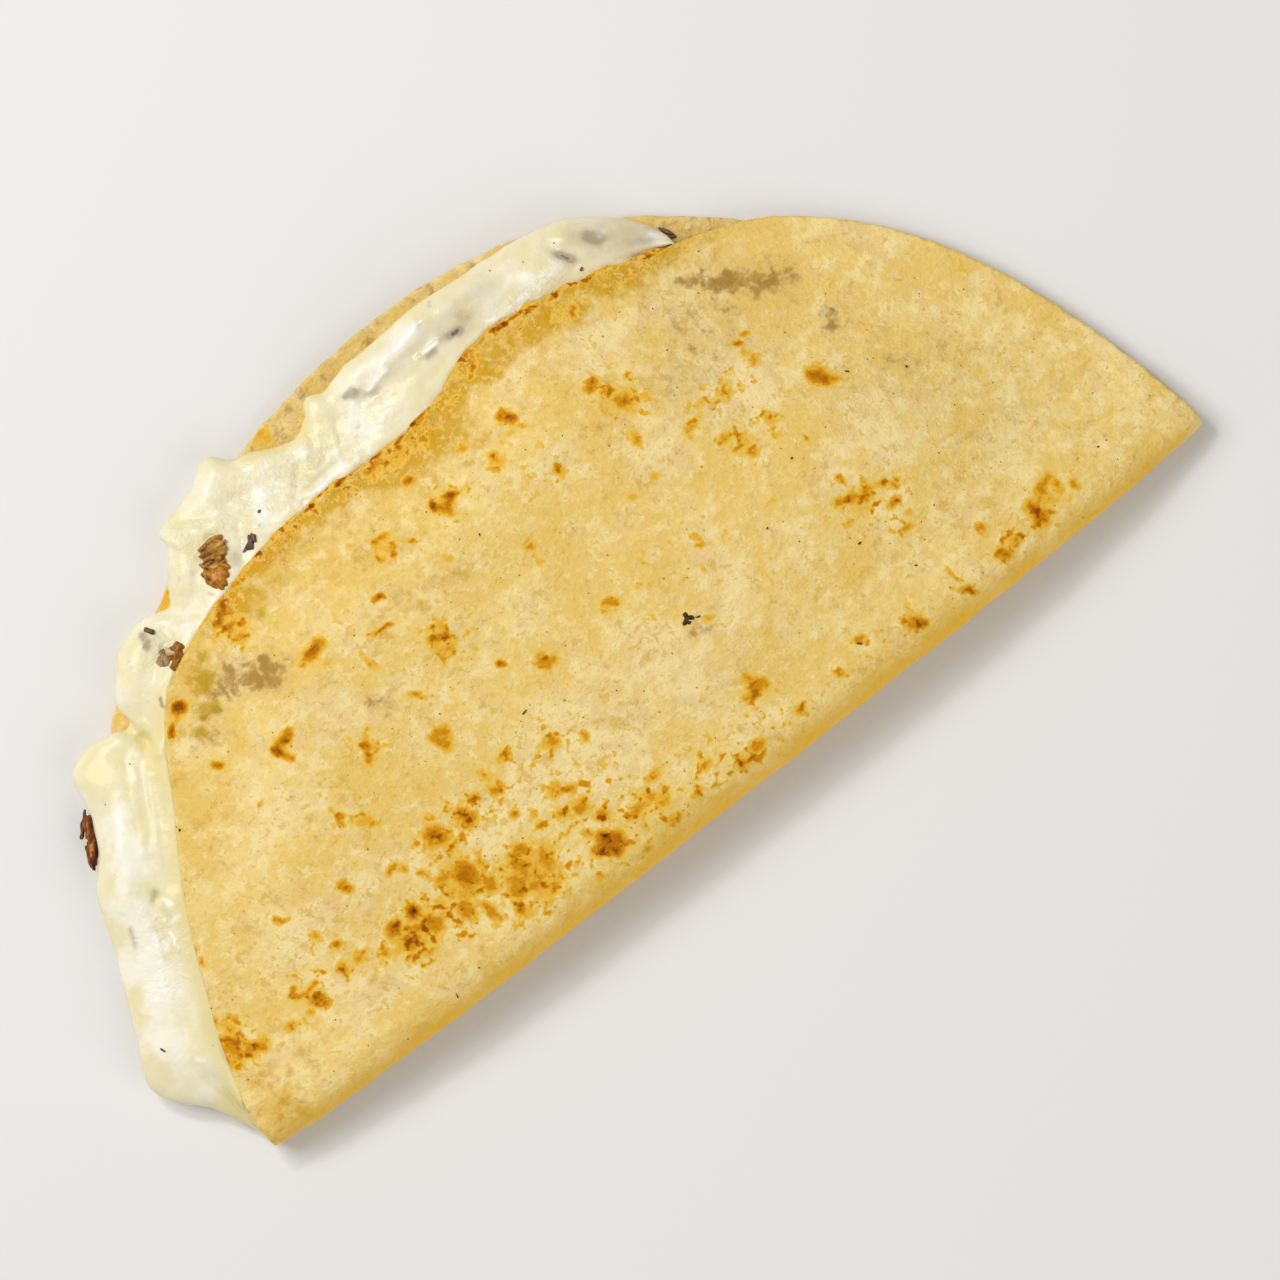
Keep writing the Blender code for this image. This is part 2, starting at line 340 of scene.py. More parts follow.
class Shader(Nodes):
    """A material, its Principled shader and the nodes that feed it."""

    def __init__(self, name: str) -> None:
        """Makes the material.

        Args:
            name: Its name.
        """
        self.material = bpy.data.materials.new(name)
        self.material.use_nodes = True
        super().__init__(self.material.node_tree)
        self.surface = self.tree.nodes["Principled BSDF"]
        self.place = self.node("ShaderNodeTexCoord", {}, {}, "Object")

    def noise(self, size: float, detail: float = 3, roughness: float = 0.55, warp: float = 0) -> Socket:
        """Adds a noise texture.

        Args:
            size: Width of one swell in millimetres.
            detail: Number of finer layers.
            roughness: Strength of the finer layers.
            warp: How far the swells are pulled about.

        Returns:
            The noise, about 0.2 to 0.8.
        """
        inputs = {"Scale": 1 / (size * MM), "Detail": detail, "Roughness": roughness}
        inputs |= {"Distortion": warp, "Vector": self.place}
        return self.node("ShaderNodeTexNoise", {"noise_dimensions": "3D"}, inputs)

    def attribute(self, name: str) -> Socket:
        """Reads a field of the piece's own points."""
        return self.node("ShaderNodeAttribute", {"attribute_name": name}, {}, "Fac")

    def mix(self, share: Socket | float, first: Socket | Colour, second: Socket | Colour) -> Socket:
        """Blends two colours, from the first at share 0 to the second at share 1."""
        return self.node("ShaderNodeMix", {"data_type": "RGBA"}, {0: share, 6: first, 7: second}, 2)

    def layered(self, colour: Socket, *layers: tuple[Socket, Socket | Colour]) -> Socket:
        """Lays colours over each other.

        Args:
            colour: The ground.
            *layers: How much each layer covers, and its colour, from the lowest up.

        Returns:
            The colour of them all.
        """
        for share, shade in layers:
            colour = self.mix(share, colour, shade)
        return colour

    def bump(self, height: Socket, depth: float, below: Socket | None = None) -> Socket:
        """Adds fine relief.

        Args:
            height: The relief, from 0 to 1.
            depth: Its depth in millimetres.
            below: Relief that this one lies on.

        Returns:
            The bent normal.
        """
        inputs = {"Height": height, "Distance": depth * MM, "Strength": 1.0}
        if below:
            inputs["Normal"] = below
        return self.node("ShaderNodeBump", {}, inputs)

    def finish(self, **values: object) -> bpy.types.Material:
        """Feeds the Principled shader.

        Args:
            **values: Its inputs, with _ for a space in a name.

        Returns:
            The finished material.
        """
        for key, value in values.items():
            self.feed(self.surface.inputs[key.replace("_", " ")], value)
        return self.material


@dataclass(frozen=True)
class ToastedDough:
    """Flour tortilla: cream dough with gold halos and brown cores where it met the pan."""

    white: Colour = (0.90, 0.72, 0.34)
    cream: Colour = (0.855, 0.645, 0.235)
    butter: Colour = (0.79, 0.545, 0.142)
    bare: Colour = (0.80, 0.595, 0.30)
    ochre: Colour = (0.68, 0.44, 0.050)
    honey: Colour = (0.79, 0.52, 0.085)
    gold: Colour = (0.78, 0.425, 0.036)
    orange: Colour = (0.62, 0.255, 0.002)
    rust: Colour = (0.46, 0.148, 0.001)
    brown: Colour = (0.27, 0.068, 0.001)
    char: Colour = (0.06, 0.020, 0.006)
    oily: Colour = (0.61, 0.335, 0.010)
    amber: Colour = (0.68, 0.335, 0.004)
    umber: Colour = (0.31, 0.100, 0.003)
    stained: Colour = (0.37, 0.20, 0.040)
    dull: Colour = (0.60, 0.42, 0.185)
    olive: Colour = (0.50, 0.31, 0.012)
    creased: Colour = (0.93, 0.52, 0.022)

    def material(self) -> bpy.types.Material:
        """Builds the tortilla's material.

        Returns:
            The material, which reads the fields that Tortilla paints.
        """
        shader = Shader("toasted_dough")
        blotch, cloud = shader.noise(3), shader.noise(15, 4)
        grain, smear = shader.noise(0.9, 3, 0.6), shader.noise(7, 3, 0.6, 0.5)
        ragged = shader.noise(2.3, 4, 0.6, 0.5)
        patchy, torn, gritty = blotch - 0.5, ragged - 0.5, grain - 0.5
        ground, fat = shader.attribute("pale"), shader.attribute("oil")
        tone = 0.6 * blotch + 0.7 * cloud + 0.5 * grain
        bare = (smear + 0.6 * cloud + 0.3 * ground).rise(0.78, 1.02)
        pale = (shader.noise(3.2, 4, 0.65) + 0.4 * cloud + 0.12 * ground).rise(0.68, 0.84)
        mark = (shader.noise(1.6, 3, 0.6, 0.4) + 0.5 * smear).rise(0.81, 0.94)
        oil = (fat + 1.2 * (smear - 0.5) + 1.3 * patchy + torn).rise(0.05, 0.80)
        soaked = (fat + 0.9 * torn + 0.5 * gritty).rise(0.76, 1.10)
        crisp = (shader.noise(1.6, 4, 0.65) + 0.5 * torn).rise(0.50, 0.66)
        stain = (shader.attribute("stain") * (0.5 + ragged) + patchy + 0.7 * torn).rise(0.08, 0.95)
        bend = shader.attribute("bend") * (0.4 + 1.2 * smear)
        olive = (shader.attribute("olive") + 1.1 * torn).rise(0.25, 0.90)
        sprinkle = 0.8 * shader.noise(2, 1, 0.5) + 0.2 * grain
        heat = shader.attribute("toast") * (0.53 + 0.94 * ragged) + 0.34 * torn + 0.20 * gritty
        heat = heat + shader.attribute("glow") * sprinkle.rise(0.53, 0.68)
        fleck = shader.noise(0.8, 1, 0.4).rise(0.70, 0.76)
        toasting = (
            (0.23, 0.34, self.honey), (0.33, 0.45, self.gold), (0.45, 0.66, self.orange),
            (0.70, 0.92, self.rust), (0.98, 1.14, self.brown), (1.30, 1.45, self.char),
        )
        colour = shader.layered(
            shader.mix(tone.rise(0.76, 1.04), self.butter, self.cream),
            (0.65 * bare, self.bare), (0.80 * pale, self.white), (0.70 * mark, self.ochre),
            (0.92 * oil, self.oily), (0.80 * soaked, self.amber), (0.60 * crisp * oil, self.cream),
            (0.90 * stain, shader.mix(stain.rise(0.25, 0.80), self.dull, self.stained)),
            (0.8 * bend, self.creased), (0.9 * olive, self.olive),
            *((0.95 * heat.rise(low, high), shade) for low, high, shade in toasting),
            (0.35 * oil * heat.rise(0.62, 0.90), self.umber), (0.35 * fleck, self.gold),
        )
        return shader.finish(
            Base_Color=colour, Roughness=0.62 - 0.27 * oil,
            Normal=shader.bump(blotch, 0.55, shader.bump(grain, 0.26)), Subsurface_Weight=0.04,
            Subsurface_Scale=0.0015, Subsurface_Radius=(1.0, 0.55, 0.2), Specular_IOR_Level=0.06,
        )


@dataclass(frozen=True)
class MeltedCheese:
    """Melted white cheese: glossy, milky, yellower where it is thin and grey over what it covers, with
    painted highlights along its ridges and folds.
    """

    white: Colour = (0.91, 0.86, 0.70)
    milk: Colour = (0.87, 0.80, 0.57)
    cream: Colour = (0.82, 0.73, 0.43)
    thin: Colour = (0.80, 0.68, 0.30)
    grey: Colour = (0.37, 0.295, 0.19)
    glint: Colour = (1.0, 0.98, 0.90)
    dark: Colour = (0.10, 0.075, 0.05)

    def material(self) -> bpy.types.Material:
        """Builds the cheese's material.

        Returns:
            The material, which reads the fields that Cheese paints.
        """
        shader = Shader("melted_cheese")
        cloud, curd = shader.noise(9), shader.noise(2.2, 4, 0.62, 0.4)
        fine, lumpy = shader.noise(0.7, 2, 0.5), curd - 0.5
        tone = cloud + 0.35 * curd
        colour = shader.layered(
            shader.mix(tone.rise(0.48, 0.84), self.cream, self.milk),
            # The field "white" is whiter cheese in places, and painted highlights along ridges and glossy
            # folds
            ((tone + 0.35 * shader.attribute("white")).rise(0.72, 1.04), self.white),
            (0.85 * (shader.attribute("thin") + 0.4 * lumpy).rise(0.1, 1.0), self.thin),
            (0.85 * (shader.attribute("shade") + 0.35 * lumpy).rise(0.10, 0.95), self.grey),
            (0.85 * (shader.attribute("bits") + 0.6 * (fine - 0.5)).rise(0.40, 0.9), self.dark),
            (shader.attribute("glint"), self.glint),
        )
        wrinkle = shader.noise(1.5, 3, 0.6, 0.8) * shader.attribute("crinkle")
        normal = shader.bump(wrinkle, 0.55, shader.bump(curd, 0.15))
        return shader.finish(
            Base_Color=colour, Roughness=0.28 + 0.20 * cloud, Normal=shader.bump(fine, 0.05, normal),
            Subsurface_Weight=0.18, Subsurface_Scale=0.0014, Subsurface_Radius=(1.0, 0.8, 0.5),
            Specular_IOR_Level=0.32, Coat_Weight=0.22, Coat_Roughness=0.10,
        )


@dataclass(frozen=True)
class BrownedMeat:
    """Cooked meat: streaked along its fibres, from pale to dark, with painted highlight where its field is
    high and painted shade where it is low.
    """

    name: str
    pale: Colour
    middle: Colour
    dark: Colour
    roughness: float = 0.5
    coat: float = 0.1
    streak: float = 0.7

    def material(self) -> bpy.types.Material:
        """Builds the meat's material.

        Returns:
            The material, which reads the field "fibre" that runs across the grain; its high places are
            painted paler and its low ones darker, as painted highlight and shade.
        """
        shader = Shader(self.name)
        mottle = shader.noise(self.streak, 4, 0.65, 0.5)
        # High "fibre" is painted paler and low "fibre" darker: partly the meat's own streaks, partly
        # painted highlight and shade
        tone = 0.7 * shader.attribute("fibre") + 0.5 * mottle + 0.45 * shader.noise(3.5, 3, 0.6)
        colour = shader.mix(tone.rise(0.64, 0.88), self.dark, self.middle)
        return shader.finish(
            Base_Color=shader.mix(tone.rise(0.88, 1.10), colour, self.pale), Roughness=self.roughness,
            Normal=shader.bump(mottle, 0.25), Coat_Weight=self.coat, Coat_Roughness=0.2,
            Specular_IOR_Level=0.2,
        )


@dataclass(frozen=True)
class Crumb:
    """Small dry bits, one colour mottled with another."""

    name: str
    first: Colour
    second: Colour
    roughness: float = 0.6

    def material(self) -> bpy.types.Material:
        """Builds the crumbs' material.

        Returns:
            The material.
        """
        shader = Shader(self.name)
        mottle = shader.noise(0.7, 3, 0.6)
        return shader.finish(
            Base_Color=shader.mix(mottle.rise(0.38, 0.62), self.first, self.second),
            Roughness=self.roughness, Normal=shader.bump(mottle, 0.08), Specular_IOR_Level=0.1,
        )


# Meshes


def place_in_frame(points: Array) -> Array:
    """Turns millimetres about the fold into metres in the frame's axes."""
    return (points - np.array([0.0, FOLD_TO_ORIGIN, 0.0])) * MM


def add_object(name: str, data: bpy.types.ID) -> bpy.types.Object:
    """Puts a mesh, a light or a camera in the scene.

    Args:
        name: The object's name.
        data: What it holds.

    Returns:
        The object.
    """
    made = bpy.data.objects.new(name, data)
    bpy.context.scene.collection.objects.link(made)
    return made


def settled(live: bpy.types.Object, name: str) -> bpy.types.Object:
    """Turns an object with live modifiers into a plain piece.

    Args:
        live: The object, which is removed.
        name: The piece's name.

    Returns:
        The piece.
    """
    graph = bpy.context.evaluated_depsgraph_get()
    mesh = bpy.data.meshes.new_from_object(live.evaluated_get(graph))
    live.modifiers.clear()
    bpy.data.objects.remove(live)
    mesh.name = name
    return add_object(name, mesh)


def read_points(piece: bpy.types.Object, what: str) -> Array:
    """Reads a piece's points.

    Args:
        piece: The piece.
        what: "co" for their places, "normal" for their directions.

    Returns:
        A row of three numbers for each point.
    """
    flat = np.empty(len(piece.data.vertices) * 3)
    piece.data.vertices.foreach_get(what, flat)
    return flat.reshape(-1, 3)


def solid_piece(name: str, points: Array, faces: list[Face]) -> bpy.types.Object:
    """Makes a smooth-shaded closed piece whose faces point outwards.

    Args:
        name: The piece's name.
        points: Its points, in millimetres about the fold.
        faces: Its faces.

    Returns:
        The piece, at the origin, with its place in its mesh.
    """
    mesh = bpy.data.meshes.new(name)
    mesh.from_pydata(place_in_frame(np.asarray(points)), [], faces)
    tidy = bmesh.new()
    tidy.from_mesh(mesh)
    bmesh.ops.recalc_face_normals(tidy, faces=tidy.faces)
    tidy.to_mesh(mesh)
    tidy.free()
    mesh.shade_smooth()
    return add_object(name, mesh)


def paint(piece: bpy.types.Object, name: str, values: Array) -> None:
    """Stores a field that the piece's material reads, one number for each point."""
    layer = piece.data.attributes.new(name, "FLOAT", "POINT")
    layer.data.foreach_set("value", np.ascontiguousarray(values, dtype=np.float32))


def dress(piece: bpy.types.Object, material: bpy.types.Material, slot: str, *nodes: str) -> None:
    """Gives a piece its finish and its place in the frame.

    Args:
        piece: The piece.
        material: Its material.
        slot: The record's material slot; not used.
        *nodes: The solids that it stands for.
    """
    piece.data.materials.clear()
    piece.data.materials.append(material)
    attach(piece, "root")
    if nodes:
        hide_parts(*nodes)


def loops_of(rings: int, count: int, first: int = 0) -> list[list[int]]:
    """Numbers closed loops of this many points each, one after the other."""
    return (first + np.arange(rings * count)).reshape(rings, count).tolist()


def walls(loops: list[list[int]]) -> list[Face]:
    """Numbers the faces between closed loops of points.

    Args:
        loops: The points of each loop, in step with the next loop's.

    Returns:
        The quads that join each loop to the next.
    """
    faces = []
    for here, there in zip(loops, loops[1:]):
        faces += zip(here, here[1:] + here[:1], there[1:] + there[:1], there)
    return faces


def capped(loops: list[list[int]], first_tip: int, last_tip: int) -> list[Face]:
    """Numbers the faces of a closed body: its walls, and a fan over each end.

    Args:
        loops: The points of each loop.
        first_tip: The point in the middle of the first loop.
        last_tip: The point in the middle of the last one.

    Returns:
        The body's faces.
    """
    faces = walls(loops)
    for loop, tip in ((loops[0], first_tip), (loops[-1], last_tip)):
        faces += zip(loop, loop[1:] + loop[:1], [tip] * len(loop))
    return faces


def grid_quads(rows: int, columns: int, first: int = 0) -> list[Face]:
    """Numbers the faces of a grid.

    Args:
        rows: How many rows of points.
        columns: How many points in a row.
        first: The first point's number.

    Returns:
        The grid's quads.
    """
    start = first + np.arange(rows - 1)[:, None] * columns + np.arange(columns - 1)[None, :]
    start = start.ravel()
    quads = np.stack([start, start + 1, start + columns + 1, start + columns], axis=1)
    return [tuple(quad) for quad in quads.tolist()]


def grid_border(rows: int, columns: int) -> list[int]:
    """Numbers the points round a grid, in order.

    Args:
        rows: How many rows of points.
        columns: How many points in a row.

    Returns:
        The border's points, once round, starting at the first row's last point.
    """
    last = (rows - 1) * columns
    low = [r * columns for r in range(1, rows)]
    high = [r * columns + columns - 1 for r in range(1, rows - 1)]
    return [*range(columns - 1, -1, -1), *low, *range(last + 1, last + columns), *high[::-1]]


# The fold


@dataclass(frozen=True)
class Fold:
    """The shape of the folded tortilla, the same as the solids have."""

    half: float = 125.0
    bow: float = 2.2
    wall: float = 2.0
    height_left: float = 11.0
    height_middle: float = 18.0
    height_right: float = 7.0
    crown: float = 3.5
    crown_run: float = 45.0
    bend_blend: float = 20.0
    wave: float = 0.5
    bottom_lift_run: float = 16.0
    top_rim: SmoothCurve = SmoothCurve((
        (0, 125), (8, 123.3), (20, 122.2), (35, 122.6), (48, 121.2), (58, 116.3), (68, 113),
        (80, 110.8), (85, 108.5), (90, 104.6), (95, 103.5), (101, 104.9), (111, 110.5),
        (121, 116.2), (134, 122.8), (146, 119.9), (160, 120.8), (171, 123.7), (176, 125.2),
        (180, 125),
    ))
    bottom_rim: SmoothCurve = SmoothCurve((
        (0, 125), (8, 122.4), (20, 120.6), (35, 119.8), (48, 119.6), (55, 120.8), (64, 123.2),
        (72, 125.2), (95, 126), (108, 127.2), (124, 128.8), (137, 134), (147, 134.2),
        (157, 131), (167, 128.4), (175, 126.2), (180, 125),
    ))
    top_rim_level: SmoothCurve = SmoothCurve((
        (0, 3.7), (42, 3.7), (50, 4.2), (58, 6.4), (66, 9.6), (78, 12.4), (95, 13.2), (112, 12.6),
        (130, 13.2), (150, 12), (166, 10.4), (180, 9.6),
    ))
    top_rim_slope: SmoothCurve = SmoothCurve((
        (0, 50), (45, 56), (70, 34), (100, 26), (140, 30), (180, 24),
    ))
    bottom_rim_lift: SmoothCurve = SmoothCurve((
        (0, 0), (58, 0.3), (80, 1.2), (98, 1.8), (112, 0.6), (125, 0), (180, 0),
    ))

    def height(self, x: Array) -> Array:
        """Height over the outside where the tortilla bends round the filling."""
        end = np.where(x < 0, self.height_left, self.height_right)
        return end + (self.height_middle - end) * (1 - np.abs(x / self.half) ** 3)

    def radius(self, x: Array) -> Array:
        """Radius of the middle of the wall in the bend."""
        return (self.height(x) - self.wall) / 2

    def centre(self, x: Array) -> Array:
        """Distance in from the line between the corners to the middle of the bend."""
        return self.height(x) / 2 - self.bow * (1 - (x / self.half) ** 4)

    def top_height(self, x: Array, y: Array) -> Array:
        """Finds the middle of the top flap's wall.

        Args:
            x: Places along the fold.
            y: Places away from it.

        Returns:
            The wall's height at each place.
        """
        level = self.height(x) - self.wall / 2
        depth = np.maximum(y - self.centre(x), 0.0)
        crown = self.crown * (1 - np.abs(x / self.half) ** 3) * smooth_step(depth / self.crown_run)
        angle, away = polar(x, y)
        inside = self.top_rim.at(angle) - away
        hold = smooth_step(depth / self.bend_blend)
        fall = hold * smooth_step(1 - inside / self.top_rim_slope.at(angle))
        swing = np.sin(x / 13 + y / 29) + np.sin(y / 11 - x / 37)
        wave = self.wave * hold * (1 - fall) * swing
        return (level + crown + wave) * (1 - fall) + self.top_rim_level.at(angle) * fall

    def bottom_height(self, x: Array, y: Array) -> Array:
        """Finds the middle of the bottom flap's wall.

        Args:
            x: Places along the fold.
            y: Places away from it.

        Returns:
            The wall's height at each place.
        """
        angle, away = polar(x, y)
        lift = smooth_step(1 - (self.bottom_rim.at(angle) - away) / self.bottom_lift_run)
        return self.wall / 2 + self.bottom_rim_lift.at(angle) * lift

    def middle(self, x: Array, s: Array) -> Array:
        """Folds a flat tortilla.

        Args:
            x: Places along the crease.
            s: Places past the crease, above 0 on the top flap.

        Returns:
            Points on the middle of the folded wall.
        """
        radius = self.radius(x)
        reach = np.abs(s) - radius * math.pi / 2
        turn = np.clip(s / radius, -math.pi / 2, math.pi / 2)
        y = self.centre(x) - radius * np.cos(turn) + np.maximum(reach, 0.0)
        bend = self.height(x) / 2 + radius * np.sin(turn)
        flap = np.where(s > 0, self.top_height(x, y), self.bottom_height(x, y))
        return np.stack([x, y, np.where(reach > 0, flap, bend)], axis=-1)

    def normal(self, x: Array, s: Array) -> Array:
        """Finds which way the folded wall faces.

        Args:
            x: Places along the crease.
            s: Places past the crease.

        Returns:
            Unit vectors out of the tortilla's outer side.
        """
        small = 0.01
        across = self.middle(x + small, s) - self.middle(x - small, s)
        over = self.middle(x, s + small) - self.middle(x, s - small)
        normal = np.cross(across, over)
        return normal / np.linalg.norm(normal, axis=-1, keepdims=True)

    def unrolled(self, rim: SmoothCurve) -> SmoothCurve:
        """Lays a rim out flat.

        Args:
            rim: Distance from the fold's middle by angle, seen from above.

        Returns:
            The same on the flat tortilla, from the middle of its crease.
        """
        angle, away = np.array(rim.points, float)[1:-1].T
        x, y = away * np.cos(np.radians(angle)), away * np.sin(np.radians(angle))
        centre, bend = self.centre(x), self.radius(x)
        turned = bend * np.arccos(np.clip((centre - y) / bend, -1, 1))
        s = np.where(y > centre, y - centre + bend * math.pi / 2, turned)
        flat, reach = polar(x, s)
        ends = rim.points[0][1], rim.points[-1][1]
        return SmoothCurve.through(np.array([0, *flat, 180]), np.array([ends[0], *reach, ends[1]]))

    def flat_grid(
        self, top: SmoothCurve, bottom: SmoothCurve, stations: Array, share: Array
    ) -> tuple[Array, Array]:
        """Lays a grid over the flat tortilla, a row for each station round the rim.

        Args:
            top: The top flap's rim, seen from above.
            bottom: The bottom flap's rim.
            stations: The rows' angles round the rim.
            share: Where a row's points are, from -1 at the bottom rim to 1 at the top rim.

        Returns:
            x and s of the grid's points.
        """
        turn = np.radians(stations)[:, None]
        b = np.sin(turn) * share[None, :]
        a = np.broadcast_to(np.cos(turn), b.shape)
        angle, rho = polar(a, np.abs(b))
        rim = np.where(b > 0, self.unrolled(top).at(angle), self.unrolled(bottom).at(angle))
        radius = self.half + (rim - self.half) * rho**2
        return radius * a, radius * b


# The tortilla

TOP_SPOTS = patches(
    # by the fold, left
    (-71.3, 21.6, 3, 3, 1.42), (-76.4, 21.2, 3.6, 2.8, 1.08), (-75.2, 17, 4.6, 5.4, 0.86),
    (-68.8, 17.4, 4.2, 4.6, 0.98), (-72.3, 18.6, 5, 4, 0.7), (-62.2, 15.4, 4.4, 5, 0.78),
    (-58, 11.4, 2.6, 6, 0.72), (-73, 12.8, 4.4, 1.8, 0.62), (-57.6, 20.8, 6, 7, 0.96),
    (-54.8, 16.6, 3.4, 4.6, 0.8), (-61.8, 22.8, 5, 3.4, 0.7), (-53.2, 20.6, 2.6, 2.6, 0.62),
    (-45.2, 18, 4.6, 3.6, 0.74), (-47.4, 15, 5, 4.4, 0.76), (-50.6, 12.4, 5, 6.6, 0.82),
    (-52.6, 8, 2.4, 5.6, 0.7), (-46.8, 10.4, 6, 2.8, 0.76), (-41.8, 12.6, 3.4, 7, 0.78),
    (-43.8, 7.6, 6, 3.4, 0.64), (-57.3, 31, 5.6, 5.4, 0.84), (-50, 30.6, 5, 5.6, 0.76),
    (-46.2, 33, 3, 2.6, 0.6), (-55.2, 27.6, 4, 1.8, 0.7), (-41, 31.2, 4, 3.4, 0.7),
    (-26, 32, 5.6, 4.4, 0.56), (-19.7, 28.4, 2.6, 3.8, 0.6), (-64.2, 27, 2.2, 2.4, 0.66),
    (-68.6, 31.8, 3.2, 2.4, 0.62), (-66.6, 30, 2.6, 2.4, 0.6), (-41.2, 24.6, 2.6, 2.4, 0.66),
    (-38.4, 22, 2, 2.2, 0.6), (-38.4, 19.2, 2.8, 2.6, 0.62), (-31.2, 23.6, 3.6, 4, 0.64),
    (-28.6, 21.4, 3.8, 2, 0.62), (-33, 18.8, 3.6, 2.8, 0.66), (-29.6, 17.2, 4, 3.4, 0.82),
    (-31.8, 12.2, 2.6, 3.2, 0.64), (-27, 13.2, 4.6, 3.2, 0.7), (-20.6, 9.4, 6, 3.4, 0.68),
    (-16.4, 10.2, 3, 4.2, 0.66), (-14.8, 7.4, 3.6, 3.2, 0.7), (-13, 13, 5, 2.4, 0.66),
    (-35, 2.6, 3.6, 2.4, 0.58), (-23.4, 1.8, 3.4, 3, 0.6), (-15.4, 3, 4.6, 3.2, 0.66),
    (-106, 18.6, 3.6, 2.2, 0.6), (-90, 21.2, 2.8, 3.4, 0.7), (-86.2, 21, 3.4, 3.4, 0.68),
    (-88, 25.8, 2.8, 2.6, 0.78), (-90.6, 29.8, 2.6, 2.6, 0.64), (-94.6, 38.2, 2.8, 2.8, 0.64),
    (-80.5, 18.6, 3, 4, 0.62),
    # on the left end
    (-115.8, 19.8, 5.4, 3.4, 0.72), (-118.2, 29, 1.8, 2, 0.74), (-112.3, 43.8, 1.8, 1.8, 0.7),
    (-109.4, 51.6, 1.8, 1.4, 0.68),
    # in the middle
    (-3.4, 67.4, 3.6, 2.6, 0.66), (-4.2, 63.6, 2, 3, 0.6), (16, 32, 3.8, 2.2, 0.6),
    (11, 75.6, 3.6, 4, 0.52), (27.6, 72, 2.6, 4.6, 0.66), (19.6, 62.6, 3, 2.6, 0.46),
    (26, 62.8, 4.2, 2.2, 0.44), (42.6, 69, 3.4, 3, 0.48), (8.8, 46.4, 3, 2, 0.44),
    (7.2, 38.8, 2.2, 2, 0.5), (30.4, 44.2, 2.4, 1.8, 0.46), (42.4, 43.6, 2.2, 2, 0.46),
    (56.6, 38.4, 2.2, 3, 0.5), (12.6, 49.8, 1.8, 3.4, 0.42), (-45.6, 69, 2.4, 5.6, 0.52),
    (-82.6, 59.4, 3.2, 2.4, 0.42), (-18.6, 76, 2.8, 3.4, 0.48),
    # by the open rim
    (-15.4, 94, 2.8, 2.4, 1), (-2.4, 92.4, 2.6, 2, 0.7), (1.6, 86.4, 3.4, 3.6, 0.7),
    (28.4, 83.6, 3.4, 3, 0.62), (-63.6, 96.8, 3.4, 3.4, 0.92), (-64.4, 93.4, 3.4, 2.6, 0.92),
    (-66.4, 95.4, 3.2, 2, 0.74), (-64, 89.6, 4.4, 3, 0.62),
    # on the right
    (43, 60, 3.4, 3.6, 0.6), (45.6, 54, 3.4, 3.8, 0.56), (44.2, 57, 1.8, 2, 0.46),
    (52.8, 57.8, 2.6, 4.8, 0.55), (52, 53.6, 2.4, 2.4, 0.54), (56.4, 49.2, 2.2, 2.2, 0.7),
    (39, 66.4, 6, 3.6, 0.48), (48.4, 67.4, 6, 3.6, 0.52), (57.6, 69.6, 3.6, 4.4, 0.5),
    (65, 30.2, 2.2, 2.8, 0.68), (63, 27.6, 4.6, 2.4, 0.72), (61.2, 21.4, 4, 1.8, 0.74),
    (64, 23.6, 2.6, 2, 0.6), (95.2, 7, 2.2, 2.8, 0.72), (75, 4, 4.6, 4, 0.66),
    (78.4, 5.2, 3.4, 2.4, 0.64), (73.8, 11.6, 2.6, 2.4, 0.66), (39, 9, 3, 2.6, 0.72),
    (8.2, 4.2, 4.6, 3.4, 0.78), (3, 3.4, 3.4, 2.8, 0.66), (-3.4, 8, 4, 3.4, 0.66),
    (-7.8, 4.6, 3.4, 3, 0.66), (20.4, 5, 4, 3, 0.6), (31.4, 6, 3, 2.6, 0.6),
)
# Ground that is toasted all over, and ground where small spots crowd together
TOP_TOAST = patches(
    (-73, 17.6, 17, 13, 0.5), (-66, 19, 10, 7, 0.42), (-58.4, 19.6, 14, 15, 0.5),
    (-63, 14, 9, 7, 0.42), (-46.4, 12.6, 17, 17, 0.52), (-57.6, 30.8, 9, 7, 0.48),
    (-49.8, 31, 7, 8, 0.46), (-41.4, 32, 5, 8, 0.4), (-29, 8, 9, 8, 0.36), (-29.6, 19, 10, 12, 0.34),
    (-18, 10, 12, 9, 0.34), (-98.6, 20.4, 9, 8, 0.38), (-88.6, 21, 8, 5, 0.36),
    (-119.6, 22.6, 9, 9, 0.66), (-114.8, 19, 8, 5, 0.52), (-117.6, 26, 6, 7, 0.52),
    (-63.6, 93.4, 8, 11, 0.46), (-55, 78.4, 8, 5, 0.44), (-71, 66.8, 8, 6, 0.4), (-31, 63, 7, 9, 0.44),
    (-42.6, 47, 6, 6, 0.4), (-57, 54.6, 6, 7, 0.4), (-13, 85.4, 9, 7, 0.42), (-28, 86.4, 8, 6, 0.38),
    (30, 80, 8, 9, 0.42), (9, 91, 6, 6, 0.4), (57, 31.6, 13, 8, 0.4), (88, 8, 11, 9, 0.42),
    (76, 5, 9, 6, 0.42), (14.6, 14.8, 8, 7, 0.4), (6, 4, 12, 6, 0.38), (66.6, 58.2, 7, 7, 0.36),
    (44.6, 57, 7, 10, 0.38), (50, 68, 14, 7, 0.34), (-84.6, 85.4, 8, 5, 0.34),
    (-15, 99.6, 14, 5, 0.46), (32, 102, 12, 5, 0.36),
)
